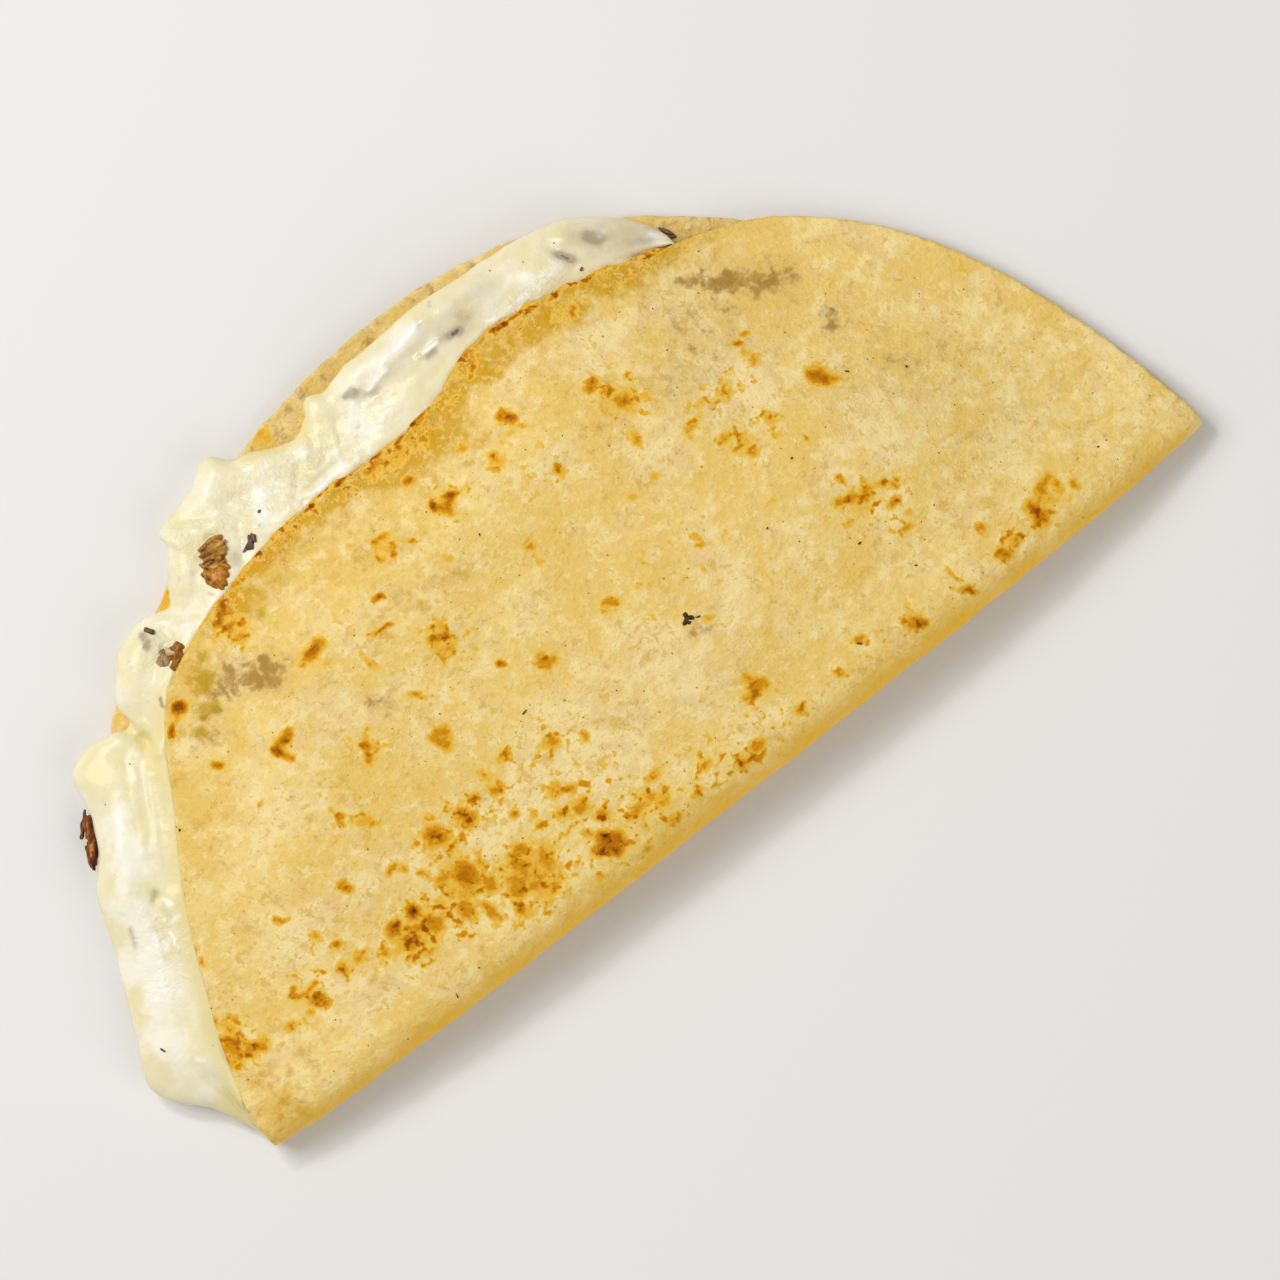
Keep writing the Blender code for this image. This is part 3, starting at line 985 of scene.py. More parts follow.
TOP_GLOW = patches(
    (-68, 16, 32, 18, 0.62), (-47, 13, 20, 20, 0.6), (-24, 12, 38, 26, 0.62), (2, 7, 44, 16, 0.6),
    (-52, 31, 30, 14, 0.55), (-96, 23, 28, 16, 0.52), (40, 5, 50, 9, 0.48), (78, 6, 26, 10, 0.5),
    (60, 29, 20, 22, 0.5), (-12, 86, 14, 12, 0.5), (30, 80, 16, 20, 0.5), (48, 61, 30, 28, 0.44),
    (-62, 50, 30, 26, 0.4), (-30, 60, 30, 28, 0.42), (-118, 23, 14, 16, 0.52), (-64, 93, 12, 14, 0.5),
    (5, 78, 44, 30, 0.4), (-30, 34, 34, 16, 0.48), (-90, 36, 20, 12, 0.38), (-55, 6, 100, 8, 0.3),
    (-35, 78, 26, 16, 0.4), (0, 48, 60, 30, 0.28), (-112, 46, 8, 26, 0.36), (85, 40, 40, 50, 0.18),
)
TOP_STAINS = strokes(
    (56, 92, 62, 86, 3, 0.55), (62, 87, 69, 82, 3.4, 0.8), (68, 82, 75, 79, 3, 0.72),
    (60, 87, 72, 80, 7, 0.42), (69.6, 78.6, 75, 77.6, 1.4, 0.55), (60, 88, 50, 86, 6, 0.34),
    (45, 75, 60, 79, 10, 0.38), (-71.4, 86.4, -69.4, 84.6, 1.8, 0.6), (-64.6, 79.8, -63, 83.4, 1.4, 1),
    (-72, 84, -64, 80, 5.4, 0.74), (-50.4, 62.8, -48.6, 58.6, 2.6, 0.52),
    (-80.6, 80.9, -77.8, 80.5, 1.3, 0.8), (-84, 78, -79, 77.6, 3, 0.44),
    (76.2, 68, 75.6, 65.4, 2.4, 0.62), (80, 50.4, 84, 46.4, 3.6, 0.36),
    (14.6, 30.4, 11, 32.6, 1.6, 0.5),
)
# Ground that is paler, and ground that is soaked with fat
TOP_PALES = patches(
    (-40, 27, 34, 12, 1), (-20, 22, 20, 16, 1), (-84, 12, 22, 10, 0.8), (-88, 32, 20, 10, 0.7),
    (8, 28, 30, 14, 0.7), (36, 93, 20, 9, 1), (92, 72, 12, 26, 0.6), (52, 66, 20, 14, 0.7),
    (30, 66, 14, 16, 0.7), (16, 98, 12, 6, 0.8), (-60, 64, 24, 14, 0.6), (70, 44, 30, 14, 0.5),
)
TOP_OILS = patches(
    (-19, 100.6, 9, 5.6, 1), (-8, 98.4, 9, 9, 0.85), (-13, 95.6, 14, 8, 0.6), (-43, 101, 6, 3.4, 0.9),
    (-37, 101.4, 5, 3.6, 0.7), (-30, 100.6, 6, 3.6, 0.6), (-52, 99.6, 9, 4, 0.7),
    (-61, 96.4, 10, 6, 0.9), (2, 101.8, 7, 5, 0.85), (12, 101.4, 9, 4, 0.8), (10, 104.4, 5, 5.6, 0.8),
    (22, 103.4, 14, 6, 0.6), (30, 102.6, 5, 4, 1.1), (34.6, 100.8, 4.4, 5, 0.8),
    (43.4, 101, 8, 4, 0.7), (48, 99.4, 8, 6, 0.55), (-1, 95, 9, 9, 0.5), (39, 103.4, 9, 4, 0.5),
    (56, 99, 8, 4, 0.6), (-119, 6, 16, 12, 0.5), (-78, 88, 12, 10, 0.55), (-36, 88, 26, 12, 0.35),
    (-30, 72, 26, 10, 0.3), (28, 82, 14, 10, 0.4),
)
TOP_OLIVES = patches(
    (-75.2, 87.2, 5.6, 5, 1.1), (-78.6, 82, 6, 3.4, 0.95), (-83.2, 79.4, 3.6, 3.2, 0.95),
    (-57.4, 91.4, 3.4, 3, 0.75), (29.6, 102.4, 4.4, 3.4, 0.9), (-73.4, 91.4, 4.4, 2.4, 0.7),
    (-41, 102.4, 6, 2.4, 0.8), (-30, 102.4, 5, 2.2, 0.8),
)
# Marks with a shape of their own: the single spots, then the fried marks along the open rim
TOP_MARKS = strokes(
    (-54.6, 77.9, -51.8, 78.5, 2, 0.8), (-57, 77, -56.2, 78, 0.9, 0.66),
    (-54.8, 78.2, -53, 78.4, 1.1, 1.02), (-53.6, 74.4, -52, 73.6, 1.41, 0.36),
    (-31.6, 61.4, -30.2, 60.6, 2.43, 0.5), (-31.6, 64.2, -29.8, 63.2, 1.15, 0.88),
    (-31.2, 66.4, -27.4, 66, 1.28, 0.42), (-28.8, 64.8, -28.8, 63.8, 1.15, 0.56),
    (-58.7, 52.4, -57, 55.6, 1.15, 0.76), (-58, 56.1, -57.2, 55.2, 0.7, 1.05),
    (-56.6, 56.4, -55.4, 57.6, 1.02, 0.44), (-55, 54.2, -53, 51.8, 0.84, 0.48),
    (-44.6, 47.6, -42.6, 47.6, 1.79, 0.74), (-44, 46.6, -43.4, 45, 1.79, 0.76),
    (-17, 46.4, -15, 45.4, 2, 0.6), (-16.4, 46.8, -15.8, 46.4, 0.84, 1.2),
    (-18, 46, -17.4, 44.8, 0.63, 0.86), (-17.4, 47.8, -16.2, 48.2, 0.84, 0.62),
    (-14.6, 45.6, -15.6, 44.4, 0.7, 0.66), (-79.6, 35.2, -79, 34, 1.4, 0.8),
    (-79.2, 34.6, -78.9, 34.2, 0.8, 1.1), (-78.4, 35.6, -78.2, 35, 0.84, 0.62),
    (-31.6, 7.4, -27.2, 7.4, 2.05, 1.02), (-29.6, 9.2, -28.8, 5.6, 2.05, 1.02),
    (65.6, 59.4, 67.2, 56.6, 1.54, 1), (65.8, 59.2, 67.2, 58, 2.82, 0.56),
    (67.6, 56.6, 69.8, 55.2, 1.02, 0.52), (66.4, 60.4, 68.4, 60.6, 0.9, 0.52),
    (85, 8.4, 85.4, 5.6, 2.69, 0.74), (88.6, 10.6, 91.6, 10.9, 1.92, 0.64),
    (86.8, 8.6, 88.8, 10, 1.54, 0.64), (92.4, 9.4, 91.4, 7.6, 1.02, 0.56),
    (85.2, 7, 85.8, 6.2, 1.41, 0.88), (50, 4.8, 50.8, 4.2, 2.3, 0.66),
    (51, 4.6, 51.8, 3.2, 1.28, 0.94), (62.6, 3.6, 64.2, 3.2, 1.28, 0.66),
    (63.7, 3.4, 64.3, 1.8, 0.84, 1), (63, 6.8, 63.6, 5.2, 0.56, 0.72),
    (62.8, 9.6, 62.8, 7.6, 0.84, 0.46), (60.8, 5.8, 61, 5.4, 0.7, 0.44),
    (8.3, 92.7, 9.9, 90.8, 1.41, 0.96), (7.4, 89, 7.7, 88.2, 0.56, 0.66),
    (8.6, 88.6, 8.7, 88.2, 0.56, 0.86), (10, 88.7, 10.2, 88.3, 0.56, 0.66),
    (4.4, 88.8, 4.6, 88.3, 0.7, 0.52), (-15, 86.6, -12.6, 84.4, 1.54, 0.86),
    (-12.6, 84.6, -11, 85.6, 1.15, 0.9), (-10.9, 86.5, -10.1, 86, 0.85, 1.35),
    (-12.6, 83.4, -12.2, 82.6, 0.84, 0.6), (-9.6, 85.6, -6.8, 85.4, 0.84, 0.46),
    (-12.7, 81, -12.5, 80.6, 0.56, 0.62), (-29.4, 88.1, -26.8, 87.9, 1.02, 0.76),
    (-26.7, 85.4, -27.7, 83.8, 0.84, 0.76), (-30.7, 85.2, -30.3, 84.2, 0.84, 0.76),
    (-28.6, 86.6, -28.4, 85.6, 2.43, 0.4), (-23.6, 83.9, -22.6, 83.3, 0.7, 0.76),
    (30.2, 80, 30.8, 78.6, 2.82, 0.6), (29.8, 80.5, 31.4, 78.6, 1.41, 0.78),
    (26.6, 86, 28.4, 86.4, 1.41, 0.84), (31, 76.6, 31.2, 76.2, 0.84, 0.56),
    (34.2, 83.6, 34.6, 83, 0.84, 0.6), (28.6, 84, 29.4, 82.6, 1.28, 0.52),
    (34, 78, 36, 77, 1.28, 0.46), (-121.2, 24.2, -121.8, 21.2, 1.02, 1.02),
    (-118.8, 24.6, -117.4, 22.4, 1.15, 0.98), (-117.4, 22.4, -114.4, 18.8, 1.15, 0.68),
    (-120.4, 22, -118.4, 20, 1.15, 0.6), (-118, 20, -113.6, 18.2, 1.28, 0.58),
    (-117.4, 26.2, -117.2, 25.2, 0.7, 0.74), (-83.9, 86.3, -82.9, 86, 1.5, 1.35),
    (-83.2, 85, -82.8, 84.8, 0.8, 0.9), (-88.2, 83.2, -87.4, 83.8, 0.84, 1.02),
    (-88.3, 82.4, -88.1, 82, 0.7, 0.84), (-87, 84, -84.8, 84.8, 1.15, 0.56),
    (-98.6, 19.4, -97.4, 19, 1.66, 0.88), (-102.4, 23.3, -101.2, 24.4, 0.9, 0.84),
    (-101.8, 22, -96.6, 22.1, 0.84, 0.68), (-101.3, 18.3, -100.9, 18, 1.02, 0.64),
    (-105.4, 18, -104.8, 18, 1.02, 0.44), (12.6, 13.4, 17.2, 14.2, 1.66, 0.7),
    (15.5, 15, 15.7, 17.8, 0.9, 0.68), (13.6, 14, 14.8, 14.4, 0.84, 0.86),
    (15.8, 14.4, 16.6, 15.2, 0.84, 0.8), (53.4, 34.4, 56.8, 33.4, 1.92, 0.62),
    (55, 34, 55.6, 33.8, 1.02, 0.82), (58.2, 31.8, 59.8, 32.8, 1.54, 0.74),
    (60, 34.8, 60.2, 34.4, 1.02, 0.5), (52.2, 29.6, 53.4, 29.8, 1.02, 0.56),
    (61.4, 32.8, 63.6, 32.2, 1.15, 0.52), (25, 46.2, 25.2, 44.8, 1.1, 0.58),
    (24.4, 47.8, 25.2, 47.4, 0.9, 0.54), (23.6, 46, 23.7, 45.6, 0.49, 0.86),
    (22.2, 41.3, 22, 40.6, 0.84, 0.46), (1.2, 47.9, 3, 47.3, 1.54, 0.66),
    (3, 46.7, 3.6, 47, 0.7, 0.84), (-71.2, 49.4, -71, 47.6, 0.84, 0.46),
    (-71, 47.2, -70.2, 46.6, 0.9, 0.88), (-71.6, 46.2, -71.4, 44.8, 0.9, 0.7),
    (-68.2, 44, -66, 42.6, 1.5, 0.54), (-66, 42.8, -65.4, 41.6, 0.9, 0.6),
    (-42, 36.4, -41.6, 34.2, 1.15, 0.46), (-41.8, 31.8, -40.8, 31.2, 1.79, 0.54),
    (-36.6, 35.4, -34.8, 36.2, 1.28, 0.62), (-72.8, 66.9, -72.4, 65.2, 1.02, 1.2),
    (-72.3, 65.2, -71.4, 62.8, 1.02, 0.72), (-71, 66.9, -68.4, 67.8, 1.41, 0.88),
    (-70.1, 67.3, -69.6, 66.6, 0.84, 1.08), (-85.2, 71.9, -84.2, 71.2, 1.02, 0.86),
    (-36.8, 78.6, -35.4, 78.4, 0.84, 0.92), (-42.4, 73.6, -41.6, 72.6, 0.56, 0.72),
    (-40.6, 72.8, -37.4, 72.4, 0.56, 0.74), (-24.2, 51.7, -23.4, 51.2, 1.02, 0.76),
    (-43, 57.9, -41.8, 57.2, 1.15, 0.6), (-41, 56, -40.4, 55.2, 0.7, 0.46),
    (57, 74.3, 57.6, 73.9, 0.8, 1.15), (59.2, 75.2, 60.2, 74.4, 0.7, 0.6),
    # along the open rim
    (-66, 95.4, -62, 98, 1.3, 0.95), (-59, 99.6, -57, 99.4, 1, 0.66),
    (-51, 101.5, -50, 101.4, 0.7, 0.7), (-47, 101.8, -45, 102, 0.5, 0.52),
    (-42.4, 102, -40.4, 101.6, 0.8, 0.5), (-37.2, 102.6, -34.6, 102.4, 0.5, 0.9),
    (-35, 100.8, -34, 101.4, 0.8, 0.4), (-28.4, 102.9, -24.4, 103.5, 0.6, 1.02),
    (-27, 101, -25.4, 99.6, 0.8, 0.44), (-21.6, 101, -18, 101.2, 1.5, 0.64),
    (-20.4, 103, -17.2, 102.2, 0.5, 1.1), (-19.8, 99.7, -19.6, 99.6, 0.4, 0.72),
    (-17, 100.6, -15.4, 100.2, 1.4, 0.56), (-13.2, 101.8, -9.8, 102.9, 0.45, 1.05),
    (-9.8, 102.9, -4.4, 103.4, 0.45, 1), (-12.9, 101, -12.2, 102.2, 0.6, 0.98),
    (-8.8, 100.8, -8, 102.2, 0.5, 0.76), (-5.8, 102.2, -4.6, 103.2, 0.6, 0.9),
    (-9, 98, -7, 99.4, 1.8, 0.36), (0.4, 105.4, 3, 106.6, 0.5, 0.55), (1, 101.6, 3.4, 102, 0.9, 0.44),
    (8.2, 103.8, 10, 105.4, 1.2, 0.64), (10.3, 104.6, 10.9, 107.4, 1, 0.84),
    (10, 107.6, 12, 107.3, 0.7, 0.8), (13.8, 107.8, 15.6, 108.3, 0.6, 0.74),
    (17.2, 108.6, 20.6, 107.9, 0.6, 1.02), (20.6, 107.7, 25.2, 107.7, 0.4, 1),
    (25.2, 107.2, 28.7, 106.7, 0.55, 1.15), (22.4, 104.8, 24.6, 105.6, 0.4, 0.74),
    (13, 101, 14.6, 101.2, 1, 0.42), (33.6, 100.2, 34.4, 101.6, 1.2, 0.68),
    (31.6, 106.1, 34.2, 106.2, 0.8, 0.64), (40.2, 104.7, 41.6, 104.5, 0.5, 0.68),
    (39.2, 102.3, 39.6, 102.5, 0.4, 0.72), (46.6, 102.6, 49.4, 103, 0.5, 0.74),
    (50.4, 102.7, 54, 101.4, 0.4, 0.7), (52.8, 100.4, 57.6, 99.6, 0.5, 0.9),
    (45.4, 98.8, 48.6, 99.6, 1, 0.4), (61, 97.2, 61.4, 97, 0.5, 0.7),
    (-113, 40.4, -112.6, 41, 0.8, 0.62), (-88.6, 82.4, -87.4, 83.8, 0.8, 0.8),
)

# Toasting and stains that show on the bottom flap's inner side, outside the cheese
INNER_TOAST = patches((-33.6, 119.8, 6, 4.6, 0.85), (-72, 106, 8, 6, 0.5))
INNER_STAINS = patches((-72, 106, 9, 7, 0.5))


@dataclass(frozen=True)
class Tortilla:
    """The folded tortilla, with its rounded rim, low blisters and browning."""

    fold: Fold = Fold()
    stations: int = 341
    top_strips: int = 160
    bottom_strips: int = 50
    bottom_spacing: float = 1.3
    corner_left: float = 178.1
    corner_right: float = 2.2
    rim_wall: float = 1.5
    rim_taper: float = 6.0
    raggedness: float = 0.9
    bottom_raggedness: float = 0.3
    underside_spots: int = 90
    rim_turns: tuple[float, ...] = (30, 60, 90, 120, 150)
    # How fried the top flap's rim is
    fried: SmoothCurve = SmoothCurve((
        (0, 0), (50, 0.15), (60, 0.75), (75, 1), (85, 0.95), (95, 1.05), (108, 0.95), (120, 0.8),
        (127, 0.4), (135, 0.2), (150, 0.15), (180, 0.12),
    ))

    def build(self) -> bpy.types.Object:
        """Builds the tortilla.

        Returns:
            The dressed piece.
        """
        x, s = self._grid(self.rim_wall / 2)
        rows, columns = x.shape
        middle, normal = self.fold.middle(x, s), self.fold.normal(x, s)
        wall = self._wall(x, s)
        outer = middle + normal * (wall / 2 + self._relief(middle, s))[..., None]
        outer[..., 2] = np.maximum(outer[..., 2], 0.0)
        inner = (middle - normal * (wall / 2)[..., None])[::2, ::2]
        border, turns = grid_border(rows, columns), len(self.rim_turns)
        rim = self._rim(middle, normal, wall, border)
        loops = [border, *loops_of(turns, len(border), rows * columns)]
        first_inner = rows * columns + len(rim)
        half_rows, half_columns = inner.shape[:2]
        inner_border = [first_inner + i for i in grid_border(half_rows, half_columns)]
        faces = grid_quads(rows, columns) + grid_quads(half_rows, half_columns, first_inner)
        faces += walls(loops[1:]) + walls(loops[:2]) + self._stitch(loops[-1], inner_border)
        points = np.concatenate([outer.reshape(-1, 3), rim, inner.reshape(-1, 3)])
        piece = solid_piece("toasted_tortilla", points, faces)
        turned = np.repeat(np.array(self.rim_turns) < 90, len(border))
        outside = np.concatenate([np.ones(rows * columns), turned, np.zeros(half_rows * half_columns)])
        over = s.ravel() > 0
        over = np.concatenate([over, np.tile(over[border], turns), s[::2, ::2].ravel() > 0])
        self._paint(piece, points, outside, over)
        dress(piece, ToastedDough().material(), "tortilla", "tortilla")
        return piece

    def _grid(self, inward: float) -> tuple[Array, Array]:
        """Lays the tortilla's grid.

        Args:
            inward: How far its rims are drawn in.

        Returns:
            x and s of the grid's points.
        """
        stations = np.linspace(self.corner_right, self.corner_left, self.stations)
        share = np.concatenate([
            -(np.linspace(1, 0, self.bottom_strips, endpoint=False) ** self.bottom_spacing),
            np.linspace(0, 1, self.top_strips + 1)])
        angles = np.linspace(0, 180, 361)
        along = np.stack([angles * 2.1, np.zeros_like(angles)], axis=-1)
        torn = 0.15 + 0.85 * Span(54, 134, 8, 12).over(angles)
        torn *= np.minimum(np.minimum(angles, 180 - angles) / 3, 1.0)
        uneven = self.raggedness * torn * SmoothNoise(3.4, 25, 3).at(along)
        top = SmoothCurve.through(angles, self.fold.top_rim.at(angles) - inward + uneven)
        bottom = self.fold.bottom_rim.at(angles) - inward + self.bottom_raggedness * uneven
        return self.fold.flat_grid(top, SmoothCurve.through(angles, bottom), stations, share)

    def _inside(self, x: Array, y: Array, over: Array) -> tuple[Array, Array]:
        """Finds how far inside its own flap's rim each place is, and its angle. Over is the top flap."""
        angle, away = polar(x, y)
        return np.where(over, self.fold.top_rim.at(angle), self.fold.bottom_rim.at(angle)) - away, angle

    def _wall(self, x: Array, s: Array) -> Array:
        """Finds the wall's thickness, which thins towards the rim."""
        inside, _ = self._inside(x, self.fold.middle(x, s)[..., 1], s > 0)
        return self.fold.wall + (self.rim_wall - self.fold.wall) * smooth_step(1 - inside / self.rim_taper)

    def _relief(self, middle: Array, s: Array) -> Array:
        """Finds the outer side's relief: blisters, swells and the raised browned spots.

        Args:
            middle: Points on the middle of the wall.
            s: Their places past the crease.

        Returns:
            How far the outer side stands out at each of them.
        """
        x, y = middle[..., 0], middle[..., 1]
        swell = 0.20 * SmoothNoise(11.0, 3, 2).at(middle) + 0.10 * SmoothNoise(3.4, 5, 2).at(middle)
        blister = 0.45 * np.clip(SmoothNoise(7.0, 8).at(middle) - 0.35, 0, 1)
        raised = 0.28 * np.minimum(strongest(TOP_SPOTS, x, y), 1.0)
        inside, angle = self._inside(x, y, s > 0)
        crust = Span(55, 134, 8, 8).over(angle) * near(inside, 6.0) * SmoothNoise(1.9, 9, 2).at(middle)
        edge = smooth_step(inside / 3.0)
        top = (swell + blister + raised + 0.42 * crust) * (0.35 + 0.65 * edge)
        return np.where(s > 0, top, -np.abs(swell) * edge)

    def _rim(self, middle: Array, normal: Array, wall: Array, border: list[int]) -> Array:
        """Rounds the rim from the outer to the inner side.

        Args:
            middle: The grid's points on the middle of the wall.
            normal: The wall's directions there.
            wall: Its thickness there.
            border: The grid's border points.

        Returns:
            The rounding's points, loop by loop.
        """
        further_in = self.fold.middle(*self._grid(self.rim_wall / 2 + 0.5))
        outward = (middle - further_in).reshape(-1, 3)[border]
        outward /= np.linalg.norm(outward, axis=-1, keepdims=True)
        start, up = middle.reshape(-1, 3)[border], normal.reshape(-1, 3)[border]
        radius = wall.ravel()[border][:, None] / 2
        outward *= 1 + 0.35 * SmoothNoise(2.5, 21, 2).at(start)[:, None]
        turns = np.radians(self.rim_turns)[:, None, None]
        points = (start + radius * (up * np.cos(turns) + outward * np.sin(turns))).reshape(-1, 3)
        points[:, 2] = np.maximum(points[:, 2], 0.0)
        return points

    @staticmethod
    def _stitch(fine: list[int], coarse: list[int]) -> list[Face]:
        """Joins a loop of points to a loop with half as many.

        Args:
            fine: The loop with more points.
            coarse: The other loop, whose points face every second one of them.

        Returns:
            The faces between the loops.
        """
        faces = []
        for i, here in enumerate(coarse):
            there = coarse[(i + 1) % len(coarse)]
            first, second, third = (fine[(2 * i + k) % len(fine)] for k in range(3))
            faces += [(here, first, second), (here, second, there), (there, second, third)]
        return faces

    def _paint(self, piece: bpy.types.Object, points: Array, outside: Array, over: Array) -> None:
        """Paints the fields that the dough's material reads.

        Args:
            piece: The tortilla.
            points: Its points.
            outside: 1 on its outer side and 0 on its inner side.
            over: True on the top flap.
        """
        plain_x, plain_y, z = points.T
        warp_x, warp_y = SmoothNoise(3.2, 41, 2).at(points), SmoothNoise(3.2, 42, 2).at(points)
        x, y = plain_x + 0.9 * warp_x, plain_y + 0.9 * warp_y
        inside, angle = self._inside(plain_x, plain_y, over)
        top, under, within = over * outside, (1 - over) * outside, 1 - outside
        uneven = 1 + 0.5 * SmoothNoise(2.6, 45, 2).at(points)
        fried_edge = 0.50 * Span(58, 134, 6, 6).over(angle) * near(inside, 0.8 * uneven)
        heat = reduce(np.maximum, (
            strongest(TOP_SPOTS, x, y) * top, strongest(TOP_TOAST, x, y) * top,
            strongest(TOP_MARKS, plain_x + 0.4 * warp_x, plain_y + 0.4 * warp_y) * top,
            fried_edge * top, self._underside(x, y) * under, together(INNER_TOAST, x, y) * within,
        ))
        fried = self.fried.at(angle)
        oil = 0.55 * fried * near(np.maximum(inside, 0), 8.0) + 0.95 * strongest(TOP_OILS, x, y)
        glow = np.maximum(strongest(TOP_GLOW, x, y), 0.7 * fried * near(inside, 5.0))
        bend = near(np.maximum(plain_y + self.fold.bow, 0), 3.6) * outside
        inner_stain = 0.36 + together(INNER_STAINS, x, y)
        paint(piece, "bend", bend * (0.30 + 0.70 * smooth_step((z - 2.0) / 6.0)))
        paint(piece, "glow", glow * top)
        paint(piece, "toast", heat)
        paint(piece, "oil", oil * top + 0.35 * under)
        paint(piece, "stain", strongest(TOP_STAINS, x, y) * top + inner_stain * within)
        paint(piece, "pale", strongest(TOP_PALES, x, y) * top)
        paint(piece, "olive", strongest(TOP_OLIVES, x, y) * top)

    def _underside(self, x: Array, y: Array) -> Array:
        """Makes up the hidden underside's browning.

        Args:
            x: Places along the fold.
            y: Places away from it.

        Returns:
            How browned each place is.
        """
        dice = np.random.default_rng(17)
        heat = 0.33 * np.clip(0.5 + SmoothNoise(26.0, 51, 2).at(np.stack([x, y], axis=-1)), 0, 1)
        for _ in range(self.underside_spots):
            angle, reach = dice.uniform(0, math.pi), 122 * math.sqrt(dice.uniform(0, 1))
            size, stretch = dice.uniform(2.0, 6.5), dice.uniform(0.7, 1.4)
            spot = Patch(
                reach * math.cos(angle), reach * math.sin(angle), size * stretch, size / stretch,
                dice.uniform(0.6, 1.1))
            heat = np.maximum(heat, spot.over(x, y))
        return heat


# The cheese

CHEESE_RELIEF = strokes(
    # along the left roll
    (-124, 24, -116, 52, 4.5, 0.7), (-117, 60, -102, 83, 2.2, 0.9), (-108, 58, -98, 76, 2, -0.7),
    (-109, 66, -99, 82, 1, 0.5), (-107, 63, -97.5, 79, 0.9, 0.4), (-113, 69, -106, 79, 1, 0.4),
    (-119, 66, -110, 80, 1.2, -0.5), (-104.5, 75, -98.5, 84, 1.2, 0.35),
    (-111, 66, -108.5, 70, 0.8, -0.3), (-104.5, 83.5, -103.5, 84.5, 4.5, 1),
    (-109, 88.2, -99, 88.4, 2.4, 0.8), (-112, 58, -112, 58.4, 1.3, -0.9),
    (-111.2, 53.6, -111.2, 54.2, 1.2, 0.5), (-121.4, 51, -120.6, 54.6, 1.2, -0.4),
    (-118.5, 47, -116, 57, 1, 0.45), (-115.4, 46, -113.4, 52, 0.8, 0.4),
    (-123.6, 38.6, -120.6, 42, 1.6, 0.5), (-127, 26, -124, 23, 2.6, 0.4), (-131, 21, -127, 26, 3, 0.4),
    # where two flows meet
    (-95.6, 92, -93.6, 85, 1.5, -2), (-93.6, 85, -95.6, 79.5, 1.3, -1.4),
    (-91.6, 88, -93, 81, 1.2, 0.6), (-97.6, 90, -97, 83, 1.2, 0.6),
    # the lumps with mushroom in them
    (-86, 100, -82, 101.5, 3.6, 0.9), (-90, 94, -87, 97, 2.6, 0.6), (-81, 91.5, -76, 92.5, 1.4, 0.5),
    (-74, 100, -71.5, 98, 1.6, 0.7), (-72.5, 104, -69, 101, 1.3, -0.9),
    (-70.5, 102.6, -66, 98.6, 1.3, 0.7), (-83, 96, -82, 93, 1.3, -0.5),
    (-76.8, 101.6, -76, 98, 1, -0.5),
    # the torn lump with the meat
    (-68, 107, -62, 117, 2.4, 0.8), (-60.5, 117.2, -54, 115.6, 1.1, -0.9),
    (-58, 119, -52, 119.4, 1.6, 0.5), (-51, 118.6, -46.4, 122.4, 2.2, 0.9),
    (-64.4, 100.6, -62.4, 97.8, 1.2, 0.5), (-66, 104.6, -64.4, 108.6, 1.2, 0.6),
    (-57, 112.4, -52, 112, 1.2, 0.6), (-53.4, 103, -50.6, 107, 1.8, -0.8),
    (-47, 106.6, -42, 110.6, 2, 0.8), (-46, 117, -40.6, 113.4, 1.4, 0.6),
    (-50.6, 114.8, -46, 113.6, 1, -0.6), (-41, 119.4, -36, 117.4, 1.2, 0.4),
    # folds by the middle of the rim
    (-40, 105.4, -36.4, 108.6, 1.2, 0.5), (-36.6, 106.4, -31.4, 112.4, 0.9, -0.7),
    (-34, 104.4, -25.4, 105.2, 0.9, 0.6), (-31, 107.2, -26, 108.6, 0.8, -0.5),
    (-24.6, 106, -22.6, 112.4, 1, 0.6), (-22.4, 104.4, -17.4, 110.6, 1.1, 0.7),
    (-17.4, 110.6, -14.4, 115, 0.9, 0.5), (-25, 118.6, -27, 112.6, 0.9, -0.8),
    (-21, 112.4, -18, 116, 0.9, -0.5), (-16.4, 107.4, -14, 108.4, 2.8, 0.7),
    (-13.6, 113, -9, 112.4, 1.2, -0.6), (-30.6, 110.4, -27.6, 114.6, 1.4, 0.6),
    # the smooth sheet on the right
    (-10.8, 114.6, -5, 116, 0.8, 0.55), (-5, 116.2, 6.4, 119.4, 2, 0.6),
    (2.4, 113.4, 7.2, 113.8, 0.7, 0.5), (8, 116.4, 14, 117.6, 1.6, 0.4),
    (10, 112.6, 13.6, 112.8, 1.4, -0.5), (19.6, 108.8, 28.6, 109.6, 0.8, 0.5),
    (22, 111.4, 27, 112, 1, -0.4), (31, 112.6, 36.4, 110.2, 2, 0.6), (29, 116, 37, 115, 2.6, 0.5),
    (38, 115.6, 39.8, 108.6, 1.2, -1), (41.4, 114.6, 43.6, 110, 1.4, 0.4),
    (44, 114, 55, 104, 4.5, 0.9), (46.6, 111.4, 47.6, 109.6, 1.2, -0.5),
    (0, 108, 14, 110.6, 1.6, -0.4),
)
